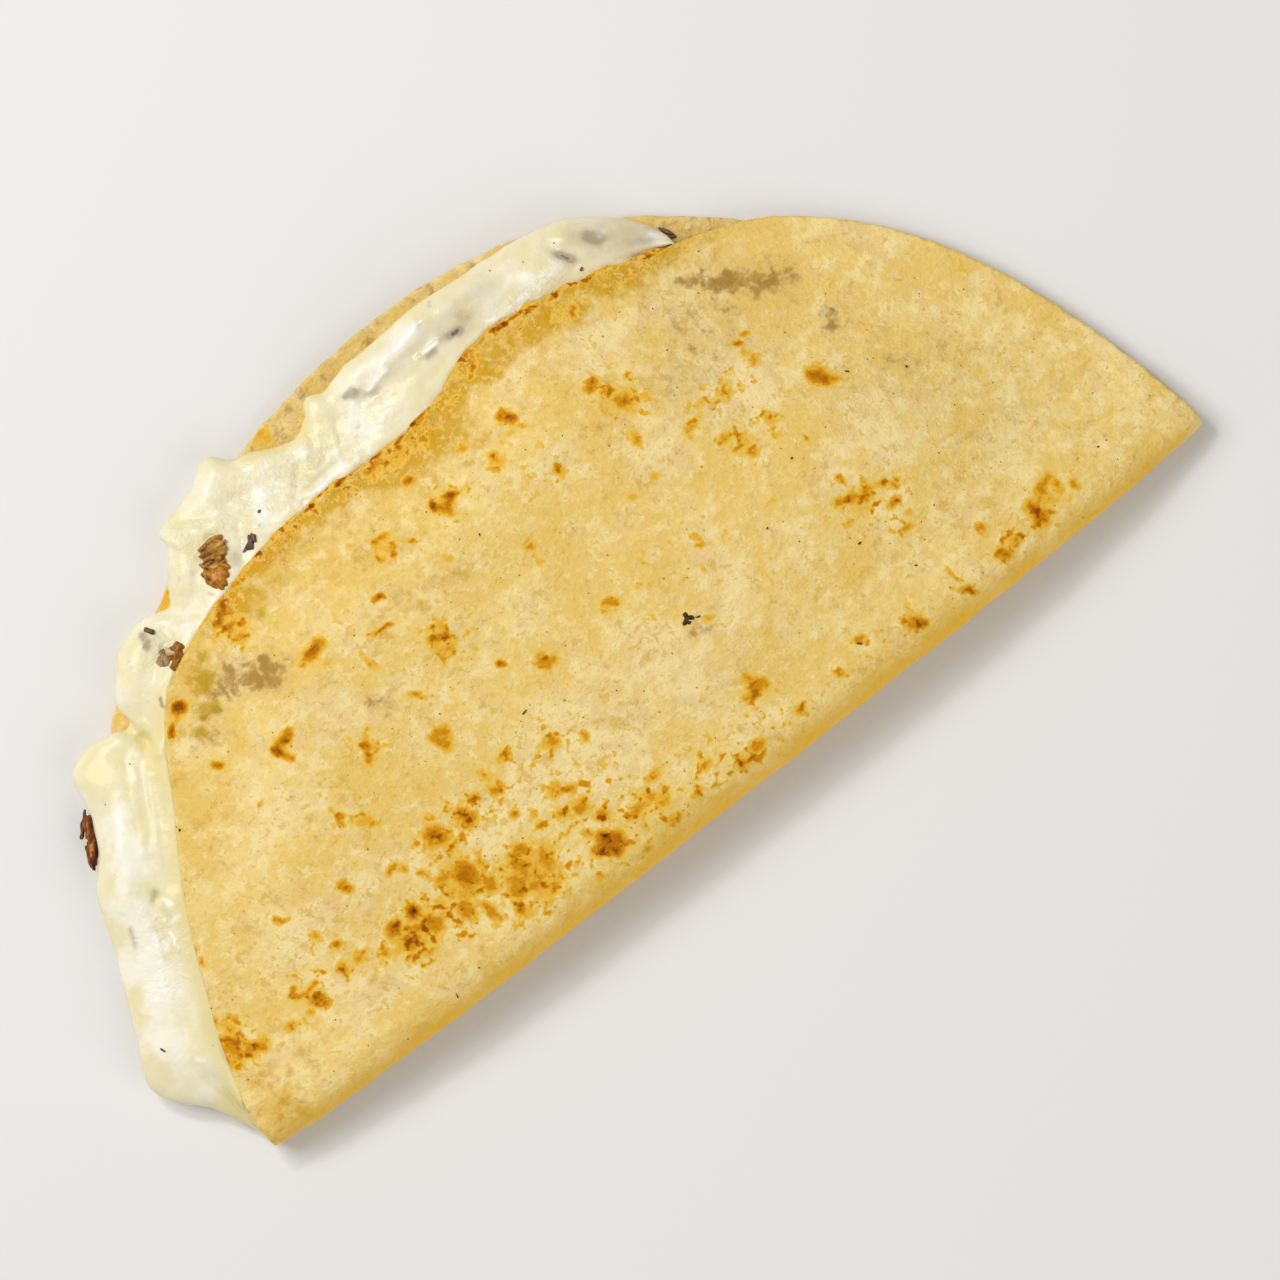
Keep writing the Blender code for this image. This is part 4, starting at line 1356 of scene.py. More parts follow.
CHEESE_THIN = strokes(
    (-95, 91, -93.4, 85, 1.6, 0.8), (-93.4, 85, -96.4, 79, 1.6, 0.8),
    (-60, 117, -55, 115.8, 1.3, 0.55), (-71.6, 104.2, -70, 103, 1.6, 0.5),
    (-107, 86.4, -101, 85, 5, 0.62), (-26, 117.6, -27.4, 113, 1.4, 0.6),
    (13, 114.4, 16.4, 115, 2.2, 0.55), (-50, 115, -46.6, 116, 1.6, 0.35),
    (25, 111.4, 28, 112.6, 2.2, 0.45), (-40, 118.6, -33, 116.6, 1.8, 0.5),
    (-111.4, 57.8, -112.4, 58.2, 1.5, 0.6), (-69.4, 99.4, -68.6, 98.8, 1.2, 0.5),
    (-130, 14, -126, 4, 2.6, 0.6), (-127.4, 18, -125.6, 10, 1.6, 0.35),
)
# Whiter cheese, and painted highlights along ridges and glossy folds
CHEESE_WHITE_AND_HIGHLIGHTS = strokes(
    (-45, 107.6, -42, 111, 2, 1), (-34, 104.6, -24, 106, 1.5, 0.9), (-30, 108, -24, 109.4, 1.2, 0.8),
    (-20, 106, -12, 109, 3, 0.45), (-6, 117.4, 6, 119.4, 2.4, 0.8), (-118, 60, -104, 80, 3, 0.7),
    (-131, 30, -122, 50, 4.8, 0.85), (-122, 50, -110, 68, 5, 0.7), (-64, 103, -66, 112, 2, 0.4),
    (30, 112, 37, 111, 2.4, 0.6), (-92, 96, -84, 103, 2.6, 0.4), (-33, 112.6, -30, 113, 1.4, 0.7),
    (56.4, 104, 57.6, 102.4, 1.4, 0.6),
)
CHEESE_GLINTS = strokes(
    (-10.8, 114.6, -7.8, 115.3, 0.43, 1), (-7.4, 115.5, -4.8, 115.9, 0.47, 0.92),
    (3.3, 113.5, 6.9, 113.8, 0.43, 0.92), (22.6, 108.7, 26, 108.9, 0.42, 0.8),
    (26.2, 109, 28.2, 109.9, 0.42, 0.8), (18, 110.7, 19.8, 110.2, 0.42, 0.69),
    (-32.4, 104.2, -29.6, 104.6, 0.54, 0.92), (-28.4, 104.9, -24.6, 105, 0.47, 0.8),
    (-21.6, 104.4, -20.2, 106.4, 0.47, 0.8), (-26.4, 109.6, -23.8, 108.8, 0.42, 0.57),
    (-17.4, 111.6, -14.6, 114.8, 0.42, 0.52), (38.6, 114.4, 39.6, 113.6, 0.42, 0.69),
    (48.4, 110.6, 49.4, 110.2, 0.42, 0.52), (56.8, 104, 57.4, 103, 0.61, 0.57),
    (-43.6, 110.8, -42, 111.8, 0.81, 0.57), (-45.4, 107.6, -43.6, 106.8, 0.68, 0.46),
    (-3, 117.6, 4, 118.6, 0.94, 0.4), (-118.4, 49.2, -117, 52.6, 0.47, 0.69),
    (-115.2, 47.4, -114.4, 49.6, 0.42, 0.69), (-112.6, 51.4, -110.8, 51.6, 0.42, 0.69),
    (-111, 56.2, -110.4, 54.4, 0.42, 0.69), (-117.6, 57.4, -116.4, 58.8, 0.42, 0.57),
    (-123.4, 41.4, -121.8, 40.2, 0.54, 0.57), (-120.8, 44.6, -119.6, 46.4, 0.47, 0.57),
    (-126.6, 25.2, -125.6, 23.8, 0.54, 0.52), (-128.8, 28, -127.8, 27, 0.54, 0.46),
    (-116.6, 62.4, -111.6, 70.6, 0.61, 0.4), (-110.6, 72.4, -105.4, 79.6, 0.68, 0.4),
    (-72.6, 99.4, -71.6, 98.8, 0.42, 0.57), (-83.4, 92.4, -80.2, 93.6, 0.42, 0.4),
    (-76.2, 92.2, -75, 92.6, 0.42, 0.57), (-56, 112.6, -53.6, 112.2, 0.47, 0.34),
    (32.6, 111.2, 35, 109.9, 0.42, 0.52), (-97.2, 85.4, -96.8, 83.6, 0.47, 0.46),
)
CHEESE_SHADE = strokes(
    (-15.4, 116.6, -13.2, 116.3, 0.7, 0.85), (-13.4, 115.4, -9.6, 113.4, 1.4, 0.34),
    (10.4, 112.8, 12.4, 112.7, 0.8, 0.75), (8.6, 113.2, 14.4, 112, 1.6, 0.24),
    (3.8, 112.2, 5.6, 112.4, 0.9, 0.45), (14.6, 115, 15.8, 113.6, 1.4, 0.22),
    (39.2, 112.2, 40.2, 109.8, 0.7, 0.95), (38.4, 113.4, 40.6, 109.6, 1.6, 0.38),
    (46.2, 111.4, 47.8, 109.8, 1.2, 0.85), (43.6, 113.6, 55.6, 104.4, 4.2, 0.5),
    (-111.6, 58.4, -113, 57.4, 1.1, 0.62), (-112.2, 55, -112.4, 52.6, 1.4, 0.34),
    (-121.8, 51.4, -120.6, 55.6, 0.8, 0.62), (-80.2, 103, -81.3, 100.4, 0.8, 0.9),
    (-79.8, 102.6, -78, 98.6, 2.2, 0.32), (-80.8, 97.6, -79, 98.2, 1.2, 0.4),
    (-53.6, 104.6, -51.6, 106, 1.6, 0.32), (-56.6, 105.4, -54.6, 102.6, 2, 0.4),
    (-85.4, 90, -85.9, 88.4, 0.38, 1.3), (-84, 90.6, -81.4, 90.4, 1.6, 0.2),
    (-34, 106.6, -25, 107, 0.8, 0.34), (-66.2, 108.4, -67.8, 106.2, 0.4, 0.42),
    (-63.6, 101.4, -63, 100.8, 0.5, 0.55), (-86, 100.6, -86.6, 98.8, 0.4, 0.55),
    (-36, 109, -33.4, 111.4, 0.6, 0.24), (-24.4, 120.2, -24.2, 120.4, 0.5, 0.5),
    (-46.2, 106.2, -46, 106.4, 0.5, 0.5), (10.6, 121, 10.9, 121.2, 0.4, 0.45),
    (5.8, 118.8, 6.6, 119.2, 0.6, 0.25), (-21.4, 112.8, -20.6, 110.8, 0.5, 0.22),
    (25, 110.4, 29, 111.2, 1.4, 0.2), (-69, 99.4, -68.4, 98.8, 1, 0.28),
    (41, 108.4, 55.6, 103.2, 1.4, 0.16), (-7, 115.6, 22, 115.6, 6, 0.42),
    (-22, 118.6, -14, 118, 2.6, 0.16), (-30, 112, -22, 116, 2.6, 0.12),
)
CHEESE_BITS = strokes(
    (11, 112.8, 12, 112.9, 0.8, 0.9), (39.4, 111.6, 39.9, 110.4, 0.5, 0.9),
    (-14.2, 116.3, -13.4, 116.4, 0.6, 0.65), (46.8, 110.8, 47.4, 110.4, 0.6, 0.6),
)
# Where the cheese is crinkled
CHEESE_CRINKLES = patches(
    (-116, 51, 9, 16, 1), (-122, 41, 8, 8, 0.7), (-28, 107, 22, 12, 1), (-42, 111, 22, 14, 0.8),
    (-60, 112, 20, 18, 0.6), (34, 111, 10, 7, 0.9), (24, 109.6, 14, 4, 0.9), (-100, 74, 14, 26, 0.35),
    (-78, 97, 18, 14, 0.7), (-14, 111, 14, 12, 0.6),
)


@dataclass(frozen=True)
class Cheese:
    """The melted cheese: hidden between the flaps, and flowing out along the open side."""

    fold: Fold = Fold()
    hidden_strips: int = 14
    front_start: float = 54.0
    closed_stations: int = 18
    open_stations: int = 620
    last_station: float = 178.6
    top_points: int = 44
    roll_points: int = 18
    foot_points: int = 6
    between_gap: float = 0.35
    rim_inset: float = 2.0
    least_front: float = 1.6
    least_height: float = 1.2
    swell: float = 0.7
    steepest: tuple[float, float] = (0.9, 0.8)
    reach: SmoothCurve = SmoothCurve((
        (0, 108), (50, 106), (57, 112), (60, 118), (64.5, 122.8), (71, 125.8), (76, 124.7),
        (83, 122.8), (90, 122.7), (97, 122.4), (98.8, 121.6), (100.3, 123.1), (102, 121.2),
        (103.8, 119.2), (106.9, 123.8), (108.4, 126.4), (109.4, 127.9), (110, 130.1), (110.5, 132.2),
        (111.2, 133.2), (112.2, 132.6), (113.2, 131.9), (115.8, 133.2), (117.6, 133.9), (118.8, 134.4),
        (119.15, 132), (120.5, 130.1),
        (122.9, 128.3), (124.4, 127.4), (127, 132.4), (130.5, 134.7), (133.6, 134), (136.8, 131.4),
        (138.8, 139), (141.2, 141.4), (145, 137.9), (148, 137.2), (152, 138.6), (157, 137.5),
        (162.3, 138.3), (165.2, 138.8), (167.2, 140.2), (168.9, 140.8), (170.4, 139.4), (171.9, 135.8),
        (173.4, 131.6), (175.5, 128.4), (177.6, 125.9), (180, 125),
    ))
    crest: SmoothCurve = SmoothCurve((
        (0, 4), (50, 4.6), (57, 5.6), (60, 6.6), (64.5, 8.6), (71, 10.2), (76, 10.8), (83, 11.4),
        (90, 11.8), (96, 11), (100, 9.2), (103.8, 9.2), (109, 9.2), (111, 8.6), (113.5, 9.6), (121, 10.8),
        (124.4, 10), (130.5, 10.4), (136.8, 9.4), (138.8, 8.6), (145, 10.8), (148, 11.2),
        (157, 9.6), (166.5, 10), (170, 8.6), (172.3, 7.2), (174.5, 5.4), (176.5, 3.8), (180, 2.2),
    ))
    # How uneven its outer edge is
    raggedness: SmoothCurve = SmoothCurve((
        (0, 0), (58, 0.1), (84, 0.3), (102, 0.55), (120, 0.8), (128, 0.5), (140, 0.3), (180, 0.15),
    ))
    # How high up the top flap's rim the cheese comes, above its underside
    lap: SmoothCurve = SmoothCurve((
        (0, 0), (58, 0), (70, 0.4), (90, 0.7), (110, 0.9), (125, 1), (138, 1.2), (150, 1.5),
        (180, 1.5),
    ))
    # How much of the front's depth is its rounded edge
    roundness: SmoothCurve = SmoothCurve((
        (0, 0.5), (60, 0.45), (90, 0.36), (108, 0.4), (120, 0.38), (132, 0.45), (146, 0.52),
        (165, 0.58), (180, 0.5),
    ))

    def build(self) -> bpy.types.Object:
        """Builds the cheese.

        Returns:
            The dressed piece.
        """
        closed = np.linspace(7.0, self.front_start, self.closed_stations, endpoint=False)
        opened = np.linspace(self.front_start, self.last_station, self.open_stations)
        rim, share = self._rim(), np.linspace(-1, 1, self.hidden_strips + 1)
        x, s = self.fold.flat_grid(rim, rim, np.concatenate([closed, opened]), share)
        between = self.fold.middle(x, s)
        between -= self.fold.normal(x, s) * (self.fold.wall / 2 + self.between_gap)
        front = self._front(between[:, 0], between[:, -1])
        cuts = np.concatenate([between, front[:, ::-1]], axis=1)
        rows, count = cuts.shape[:2]
        points = np.concatenate([cuts.reshape(-1, 3), cuts[[0, -1]].mean(axis=1)])
        faces = capped(loops_of(rows, count), rows * count, rows * count + 1)
        piece = solid_piece("melted_cheese", points, faces)
        self._paint(piece, points)
        dress(piece, MeltedCheese().material(), "cheese", "cheese_filling")
        return piece

    def _rim(self) -> SmoothCurve:
        """Finds where the front starts between the flaps.

        Returns:
            Its distance from the fold's middle, by angle.
        """
        angles = np.linspace(0, 180, 91)
        under = self.fold.top_rim.at(angles) - self.rim_inset
        behind = self.reach.at(angles) - self.least_front
        return SmoothCurve.through(angles, np.minimum(under, behind))

    def _front(self, low: Array, high: Array) -> Array:
        """Shapes the cheese's front as upright cuts.

        Args:
            low: Where each cut starts, on the bottom flap.
            high: Where it ends, under the top flap.

        Returns:
            Points of every cut, from its foot to its top.
        """
        fold = self.fold
        (angle, end_r), (_, start_r) = polar(*high.T[:2]), polar(*low.T[:2])
        edge = np.stack([angle * 2.2, np.zeros_like(angle)], axis=-1)
        reach = self.reach.at(angle) + self.raggedness.at(angle) * SmoothNoise(5.0, 61, 3).at(edge)
        reach = np.maximum(reach, end_r + self.least_front)
        rim_r, bottom_r = np.minimum(fold.top_rim.at(angle), reach - 0.8), fold.bottom_rim.at(angle)
        over = smooth_step((reach - bottom_r + 0.3) / 2.5)
        out = np.stack([np.cos(np.radians(angle)), np.sin(np.radians(angle))], axis=-1)
        rest = fold.bottom_height(*(out * np.minimum(reach, bottom_r)[:, None]).T)
        foot = (rest + fold.wall / 2 - 0.15) * (1 - over) + 0.05 * over
        crest = np.maximum(self.crest.at(angle), foot + self.least_height)
        depth = reach - rim_r
        touch = np.minimum(high[:, 2] + self.lap.at(angle) + 0.3, fold.top_rim_level.at(angle) + 0.75)
        touch = np.minimum(touch, crest + self.steepest[0] + self.steepest[1] * depth)
        roll = depth * self.roundness.at(angle)
        middle, half, inner = (foot + crest) / 2, (crest - foot) / 2, reach - roll
        cuts = []
        for share in np.linspace(0.0, 1.0, self.foot_points, endpoint=False):
            cuts.append((start_r + (inner - start_r) * (0.15 + 0.85 * share), foot + over * (1 - share)))
        for turn in np.radians(np.linspace(-90, 90, self.roll_points, endpoint=False)):
            cuts.append((inner + roll * math.cos(turn), middle + half * math.sin(turn)))
        for share in np.linspace(0.0, 1.0, self.top_points):
            rise, swell = smooth_step((share - 0.35) / 0.65), self.swell * math.sin(math.pi * share) ** 2
            cuts.append((inner + (rim_r - inner) * share, crest + swell + (touch - crest) * rise))
        cuts.append(((rim_r + end_r) / 2, (touch + high[:, 2]) / 2 - 0.3))
        r, z = np.array(cuts).transpose(1, 2, 0)
        return self._sculpt(np.stack([r * out[:, :1], r * out[:, 1:], z], axis=-1))

    def _sculpt(self, points: Array) -> Array:
        """Adds folds, dents and crinkles to the front's upper side.

        Args:
            points: The front's points, cut by cut.

        Returns:
            The points with their relief.
        """
        x, y, z = np.moveaxis(points, -1, 0)
        normal = np.cross(np.gradient(points, axis=0), np.gradient(points, axis=1))
        normal /= np.maximum(np.linalg.norm(normal, axis=-1, keepdims=True), 1e-9)
        on_top, last = self.foot_points + self.roll_points + 10, points.shape[1] - 1
        normal *= np.sign(normal[:, on_top, 2])[:, None, None]
        shown = Span(self.foot_points + 1, last, 4, 5).over(np.arange(last + 1))
        warp_x, warp_y = SmoothNoise(5.0, 71, 2).at(points), SmoothNoise(5.0, 72, 2).at(points)
        height = 0.65 * together(CHEESE_RELIEF, x + 0.8 * warp_x, y + 0.8 * warp_y)
        height += 0.55 * SmoothNoise(12.0, 73, 2).at(points) + 0.16 * SmoothNoise(4.0, 74, 2).at(points)
        crinkle = np.minimum(together(CHEESE_CRINKLES, x, y), 1.2)
        height += 0.17 * crinkle * SmoothNoise(1.9, 75, 3).at(points)
        flow = np.stack([(x - 0.4 * y) / 7.0, (y + 0.4 * x) / 1.8, z / 4], axis=-1)
        stringy = Span(84, 124, 10, 10).over(polar(x, y)[0])
        height += 0.14 * stringy * SmoothNoise(1.0, 76, 2).at(flow)
        points = points + normal * (height * shown)[..., None]
        points[..., 2] = np.maximum(points[..., 2], 0.0)
        return points

    def _paint(self, piece: bpy.types.Object, points: Array) -> None:
        """Paints the fields that the cheese's material reads.

        Args:
            piece: The cheese.
            points: Its points.
        """
        warp_x, warp_y = SmoothNoise(2.4, 81, 2).at(points), SmoothNoise(2.4, 82, 2).at(points)
        x, y = points[:, 0] + 0.5 * warp_x, points[:, 1] + 0.5 * warp_y
        angle, away = polar(x, y)[0], np.hypot(points[:, 0], points[:, 1])
        film = 0.8 * smooth_step((angle - 126) / 6) * near(away - self.fold.top_rim.at(angle) - 0.8, 2.6)
        film += 0.6 * Span(76, 112, 6, 4).over(angle) * near(self.reach.at(angle) - away, 1.8)
        glints = (1 + 0.3 * SmoothNoise(0.9, 83).at(points)) * together(CHEESE_GLINTS, x, y)
        paint(piece, "glint", np.clip(glints, 0, 0.9))
        paint(piece, "thin", np.clip(together(CHEESE_THIN, x, y) + film, 0, 1))
        for name, marks in (
            ("white", CHEESE_WHITE_AND_HIGHLIGHTS), ("shade", CHEESE_SHADE), ("crinkle", CHEESE_CRINKLES),
            ("bits", CHEESE_BITS),
        ):
            paint(piece, name, np.clip(together(marks, x, y), 0, 1))


# Meat, mushroom and specks


@dataclass(frozen=True)
class Strand:
    """One fibre bundle of a piece of meat, between two places at these heights over the cheese."""

    x0: float
    y0: float
    x1: float
    y1: float
    thickness: float
    lift: float
    end_lift: float | None = None
    flatness: float = 1.0


def bundle(*rows: tuple[float | None, ...]) -> tuple[Strand, ...]:
    """Makes strands from rows of x0, y0, x1, y1, thickness, lift, end_lift and flatness."""
    return tuple(Strand(*row) for row in rows)


@dataclass(frozen=True)
class MeatPiece:
    """A piece of meat grown together from strands, with fine ridges along the grain."""

    name: str
    finish: BrownedMeat
    slot: str
    grain: float
    seed: int
    strands: tuple[Strand, ...]
    nodes: tuple[str, ...] = ()
    voxel: float = 0.28
    ridge: float = 0.42
    rings: int = 14
    sides: int = 10
    blunt: float = 0.45
    bulge: float = 0.22
    sway: float = 0.25
    fibre: tuple[float, float, float] = (3.2, 0.62, 0.8)
    level: float | None = None

    def build(self, ground: Surface) -> bpy.types.Object:
        """Builds the piece of meat.

        Args:
            ground: The cheese that it lies in.

        Returns:
            The dressed piece.
        """
        points, faces = [], []
        for number, strand in enumerate(self.strands):
            points.append(self._tube(strand, number, ground))
            loops = loops_of(self.rings, self.sides, number * self.rings * self.sides)
            faces += [*walls(loops), tuple(loops[0]), tuple(loops[-1])]
        loose = solid_piece(self.name + "_strands", np.concatenate(points), faces)
        merge = loose.modifiers.new("merge", "REMESH")
        merge.mode, merge.voxel_size, merge.use_smooth_shade = "VOXEL", self.voxel * MM, True
        relax = loose.modifiers.new("relax", "SMOOTH")
        relax.factor, relax.iterations = 0.5, 2
        piece = settled(loose, self.name)
        self._carve(piece)
        dress(piece, self.finish.material(), self.slot, *self.nodes)
        return piece

    def _tube(self, strand: Strand, number: int, ground: Surface) -> Array:
        """Shapes one strand as an uneven tube.

        Args:
            strand: The strand.
            number: Its place in the list, which picks its unevenness.
            ground: The cheese that it lies in.

        Returns:
            The tube's points, ring by ring.
        """
        start = self._end(strand.x0, strand.y0, strand.lift, ground)
        end_lift = strand.lift if strand.end_lift is None else strand.end_lift
        end = self._end(strand.x1, strand.y1, end_lift, ground)
        run = (end - start) / np.linalg.norm(end - start)
        side = np.cross(run, (0, 0, 1.0))
        side /= np.linalg.norm(side)
        up = np.cross(side, run)
        noise = SmoothNoise(0.35, self.seed * 100 + number, 2)
        turn = np.linspace(0, 2 * math.pi, self.sides, endpoint=False)
        around = np.cos(turn)[:, None] * side + np.sin(turn)[:, None] * up * strand.flatness
        rings = []
        for t in (np.arange(self.rings) + 0.5) / self.rings:
            sway = noise.at(np.array([[t * 1.2, 7.0, 0.0], [t * 1.2, 17.0, 0.0]]))
            sway = self.sway * sway * strand.thickness
            middle = start + (end - start) * t + side * sway[0] + up * sway[1]
            bulge = noise.at(np.stack([np.full_like(turn, t * 2), np.cos(turn), np.sin(turn)], axis=-1))
            radius = strand.thickness / 2 * math.sin(math.pi * t) ** self.blunt * (1 + self.bulge * bulge)
            rings.append(middle + around * radius[:, None])
        return np.concatenate(rings)

    def _end(self, x: float, y: float, lift: float, ground: Surface) -> Array:
        """Finds a strand's end, this high over the cheese or over the piece's own level."""
        level = ground.point(x, y)[0][2] if self.level is None else self.level
        return np.array([x, y, level + lift])

    def _carve(self, piece: bpy.types.Object) -> None:
        """Cuts fine ridges along the grain, and paints the ridges paler and the grooves darker: partly
        streaks along the fibres, partly painted highlight on the ridges and painted shade in the grooves.

        Args:
            piece: The merged piece.
        """
        points, normal = read_points(piece, "co") / MM, read_points(piece, "normal")
        x, y, z = points.T
        c, n = math.cos(math.radians(self.grain)), math.sin(math.radians(self.grain))
        grain = np.stack([x * c + y * n, y * c - x * n, z], axis=-1) / self.fibre
        height = SmoothNoise(1.0, self.seed + 300, 2).at(grain)
        points += normal * (self.ridge * height)[:, None]
        points[:, 2] = np.maximum(points[:, 2], 0.0)
        piece.data.vertices.foreach_set("co", (points * MM).ravel())
        piece.data.update()
        # The ridges' height becomes the colour: paler on the ridges and darker in the grooves, as painted
        # highlight and shade along the fibre streaks
        paint(piece, "fibre", 0.5 + 0.5 * height)


@dataclass(frozen=True)
class Morsel:
    """A small bit that lies in a surface."""

    x: float
    y: float
    length: float
    width: float
    thickness: float
    turn: float
    sink: float
    rough: float = 0.3


def morsels(*rows: tuple[float, ...]) -> tuple[Morsel, ...]:
    """Makes morsels from rows of x, y, length, width, thickness, turn, sink and roughness."""
    return tuple(Morsel(*row) for row in rows)


class MorselKind(Enum):
    """What the small bits in the cheese are."""

    ONION = BrownedMeat(
        "browned_onion", (0.56, 0.44, 0.36), (0.19, 0.11, 0.075), (0.06, 0.030, 0.020), 0.35, 0.2, 0.5)
    CRUST = BrownedMeat(
        "meat_crust", (0.42, 0.26, 0.13), (0.20, 0.10, 0.04), (0.05, 0.025, 0.012), 0.5, 0.1, 0.7)
    HERB = BrownedMeat(
        "dark_herb", (0.24, 0.20, 0.12), (0.14, 0.11, 0.07), (0.06, 0.045, 0.03), 0.6, 0.0, 0.5)


MORSELS: dict[MorselKind, tuple[Morsel, ...]] = {
    MorselKind.ONION: morsels(
        (-50, 104.4, 2.6, 1.9, 1.4, 40, 0.2, 0.8), (-48.9, 104.9, 1.9, 0.8, 1.2, 80, 0.2, 0.8),
        (-51.5, 103.9, 2.2, 0.8, 0.8, 12, 0.1, 0.4),
    ),
    MorselKind.CRUST: morsels(
        (-78.6, 102.8, 2.3, 1.2, 1, -65, 0.1, 0.4), (60, 102.4, 3.4, 0.9, 1, -62, 0.2),
        (60.2, 100.8, 2, 0.8, 0.8, -20, 0.3), (40.8, 107, 1, 0.7, 0.5, 10, 0.1),
    ),
    MorselKind.HERB: morsels(
        (-131, 31, 1.2, 0.5, 0.4, -70, 0.1), (-44.6, 108.5, 0.8, 0.7, 0.4, 0, 0.1),
        (-67.4, 97, 0.9, 0.6, 0.4, 30, 0.1),
    ),
}
# Black specks burnt onto the top flap
BURNT_SPECKS = tuple(
    Morsel(x, y, length, width, thickness=0.5, turn=turn, sink=0.05, rough=0.4)
    for x, y, length, width, turn in (
        (13, 35.3, 1.6, 1.1, 80), (12.2, 34.5, 1.6, 0.9, 15), (13.7, 34.5, 1.5, 1, -35),
        (15, 33.7, 1, 0.4, -20), (12.7, 33.9, 0.8, 0.6, 0), (38.4, 8.3, 1.2, 0.35, -40),
        (51.5, 25, 0.7, 0.4, 0), (51.2, 48, 0.6, 0.35, 20), (71.8, 55.3, 0.9, 0.3, -50),
        (82.4, 48.4, 0.7, 0.35, 80), (-74.6, 1.8, 1.2, 0.25, 80), (-99.4, 65.6, 0.7, 0.4, 20),
        (-26.4, 40.4, 1.3, 0.25, 15), (58, 14, 0.5, 0.3, 0), (38, 39.5, 0.6, 0.25, 30),
        (-10.8, 75.8, 0.7, 0.25, 60), (104, 10, 0.5, 0.3, 0),
    ))


class Surface:
    """A piece's upper surface, to lay small things on, with a level for places just beside it."""

    level_beside: float = 2.5

    def __init__(self, piece: bpy.types.Object) -> None:
        """Reads the piece's mesh."""
        self.tree = BVHTree.FromPolygons(
            [v.co for v in piece.data.vertices], [p.vertices for p in piece.data.polygons])

    def point(self, x: float, y: float) -> tuple[Array, Array]:
        """Finds the surface straight below a place.

        Args:
            x: The place along the fold.
            y: The place away from it.

        Returns:
            The surface's point in millimetres about the fold, and its direction.
        """
        above = Vector((x * MM, (y - FOLD_TO_ORIGIN) * MM, 1.0))
        hit, normal, _, _ = self.tree.ray_cast(above, Vector((0, 0, -1)))
        if hit is None:
            return np.array([x, y, self.level_beside]), np.array([0.0, 0.0, 1.0])
        return np.array(hit) / MM + (0, FOLD_TO_ORIGIN, 0), np.array(normal)


LUMP_LOOPS = 11
LUMP_SIDES = 20


def lump(morsel: Morsel, surface: Surface, seed: int) -> tuple[Array, Array]:
    """Shapes a small uneven lump lying on a surface.

    Args:
        morsel: Its place and size.
        surface: What it lies on.
        seed: Picks its unevenness.

    Returns:
        Its points, loop by loop and then its two tips, and how high up each is, from -1 to 1.
    """
    spot, up = surface.point(morsel.x, morsel.y)
    turn = math.radians(morsel.turn)
    along = np.array([math.cos(turn), math.sin(turn), 0.0])
    along -= up * along.dot(up)
    along /= np.linalg.norm(along)
    axes = np.stack([along, np.cross(up, along), up])
    tilt = np.linspace(0, math.pi, LUMP_LOOPS + 2)[1:-1, None]
    spin = np.linspace(0, 2 * math.pi, LUMP_SIDES, endpoint=False)[None, :]
    ball = np.stack(
        [np.sin(tilt) * np.cos(spin), np.sin(tilt) * np.sin(spin), np.cos(tilt) + 0 * spin], axis=-1)
    ball = np.concatenate([ball.reshape(-1, 3), [[0, 0, 1.0], [0, 0, -1.0]]])
    uneven = 1 + morsel.rough * SmoothNoise(0.8, seed, 3).at(ball)
    size = np.array([morsel.length, morsel.width, morsel.thickness]) / 2
    local = np.sign(ball) * np.abs(ball) ** 0.8 * size * uneven[:, None]
    centre = spot + up * (morsel.thickness / 4 - morsel.sink)
    return centre + local @ axes, ball[:, 2]


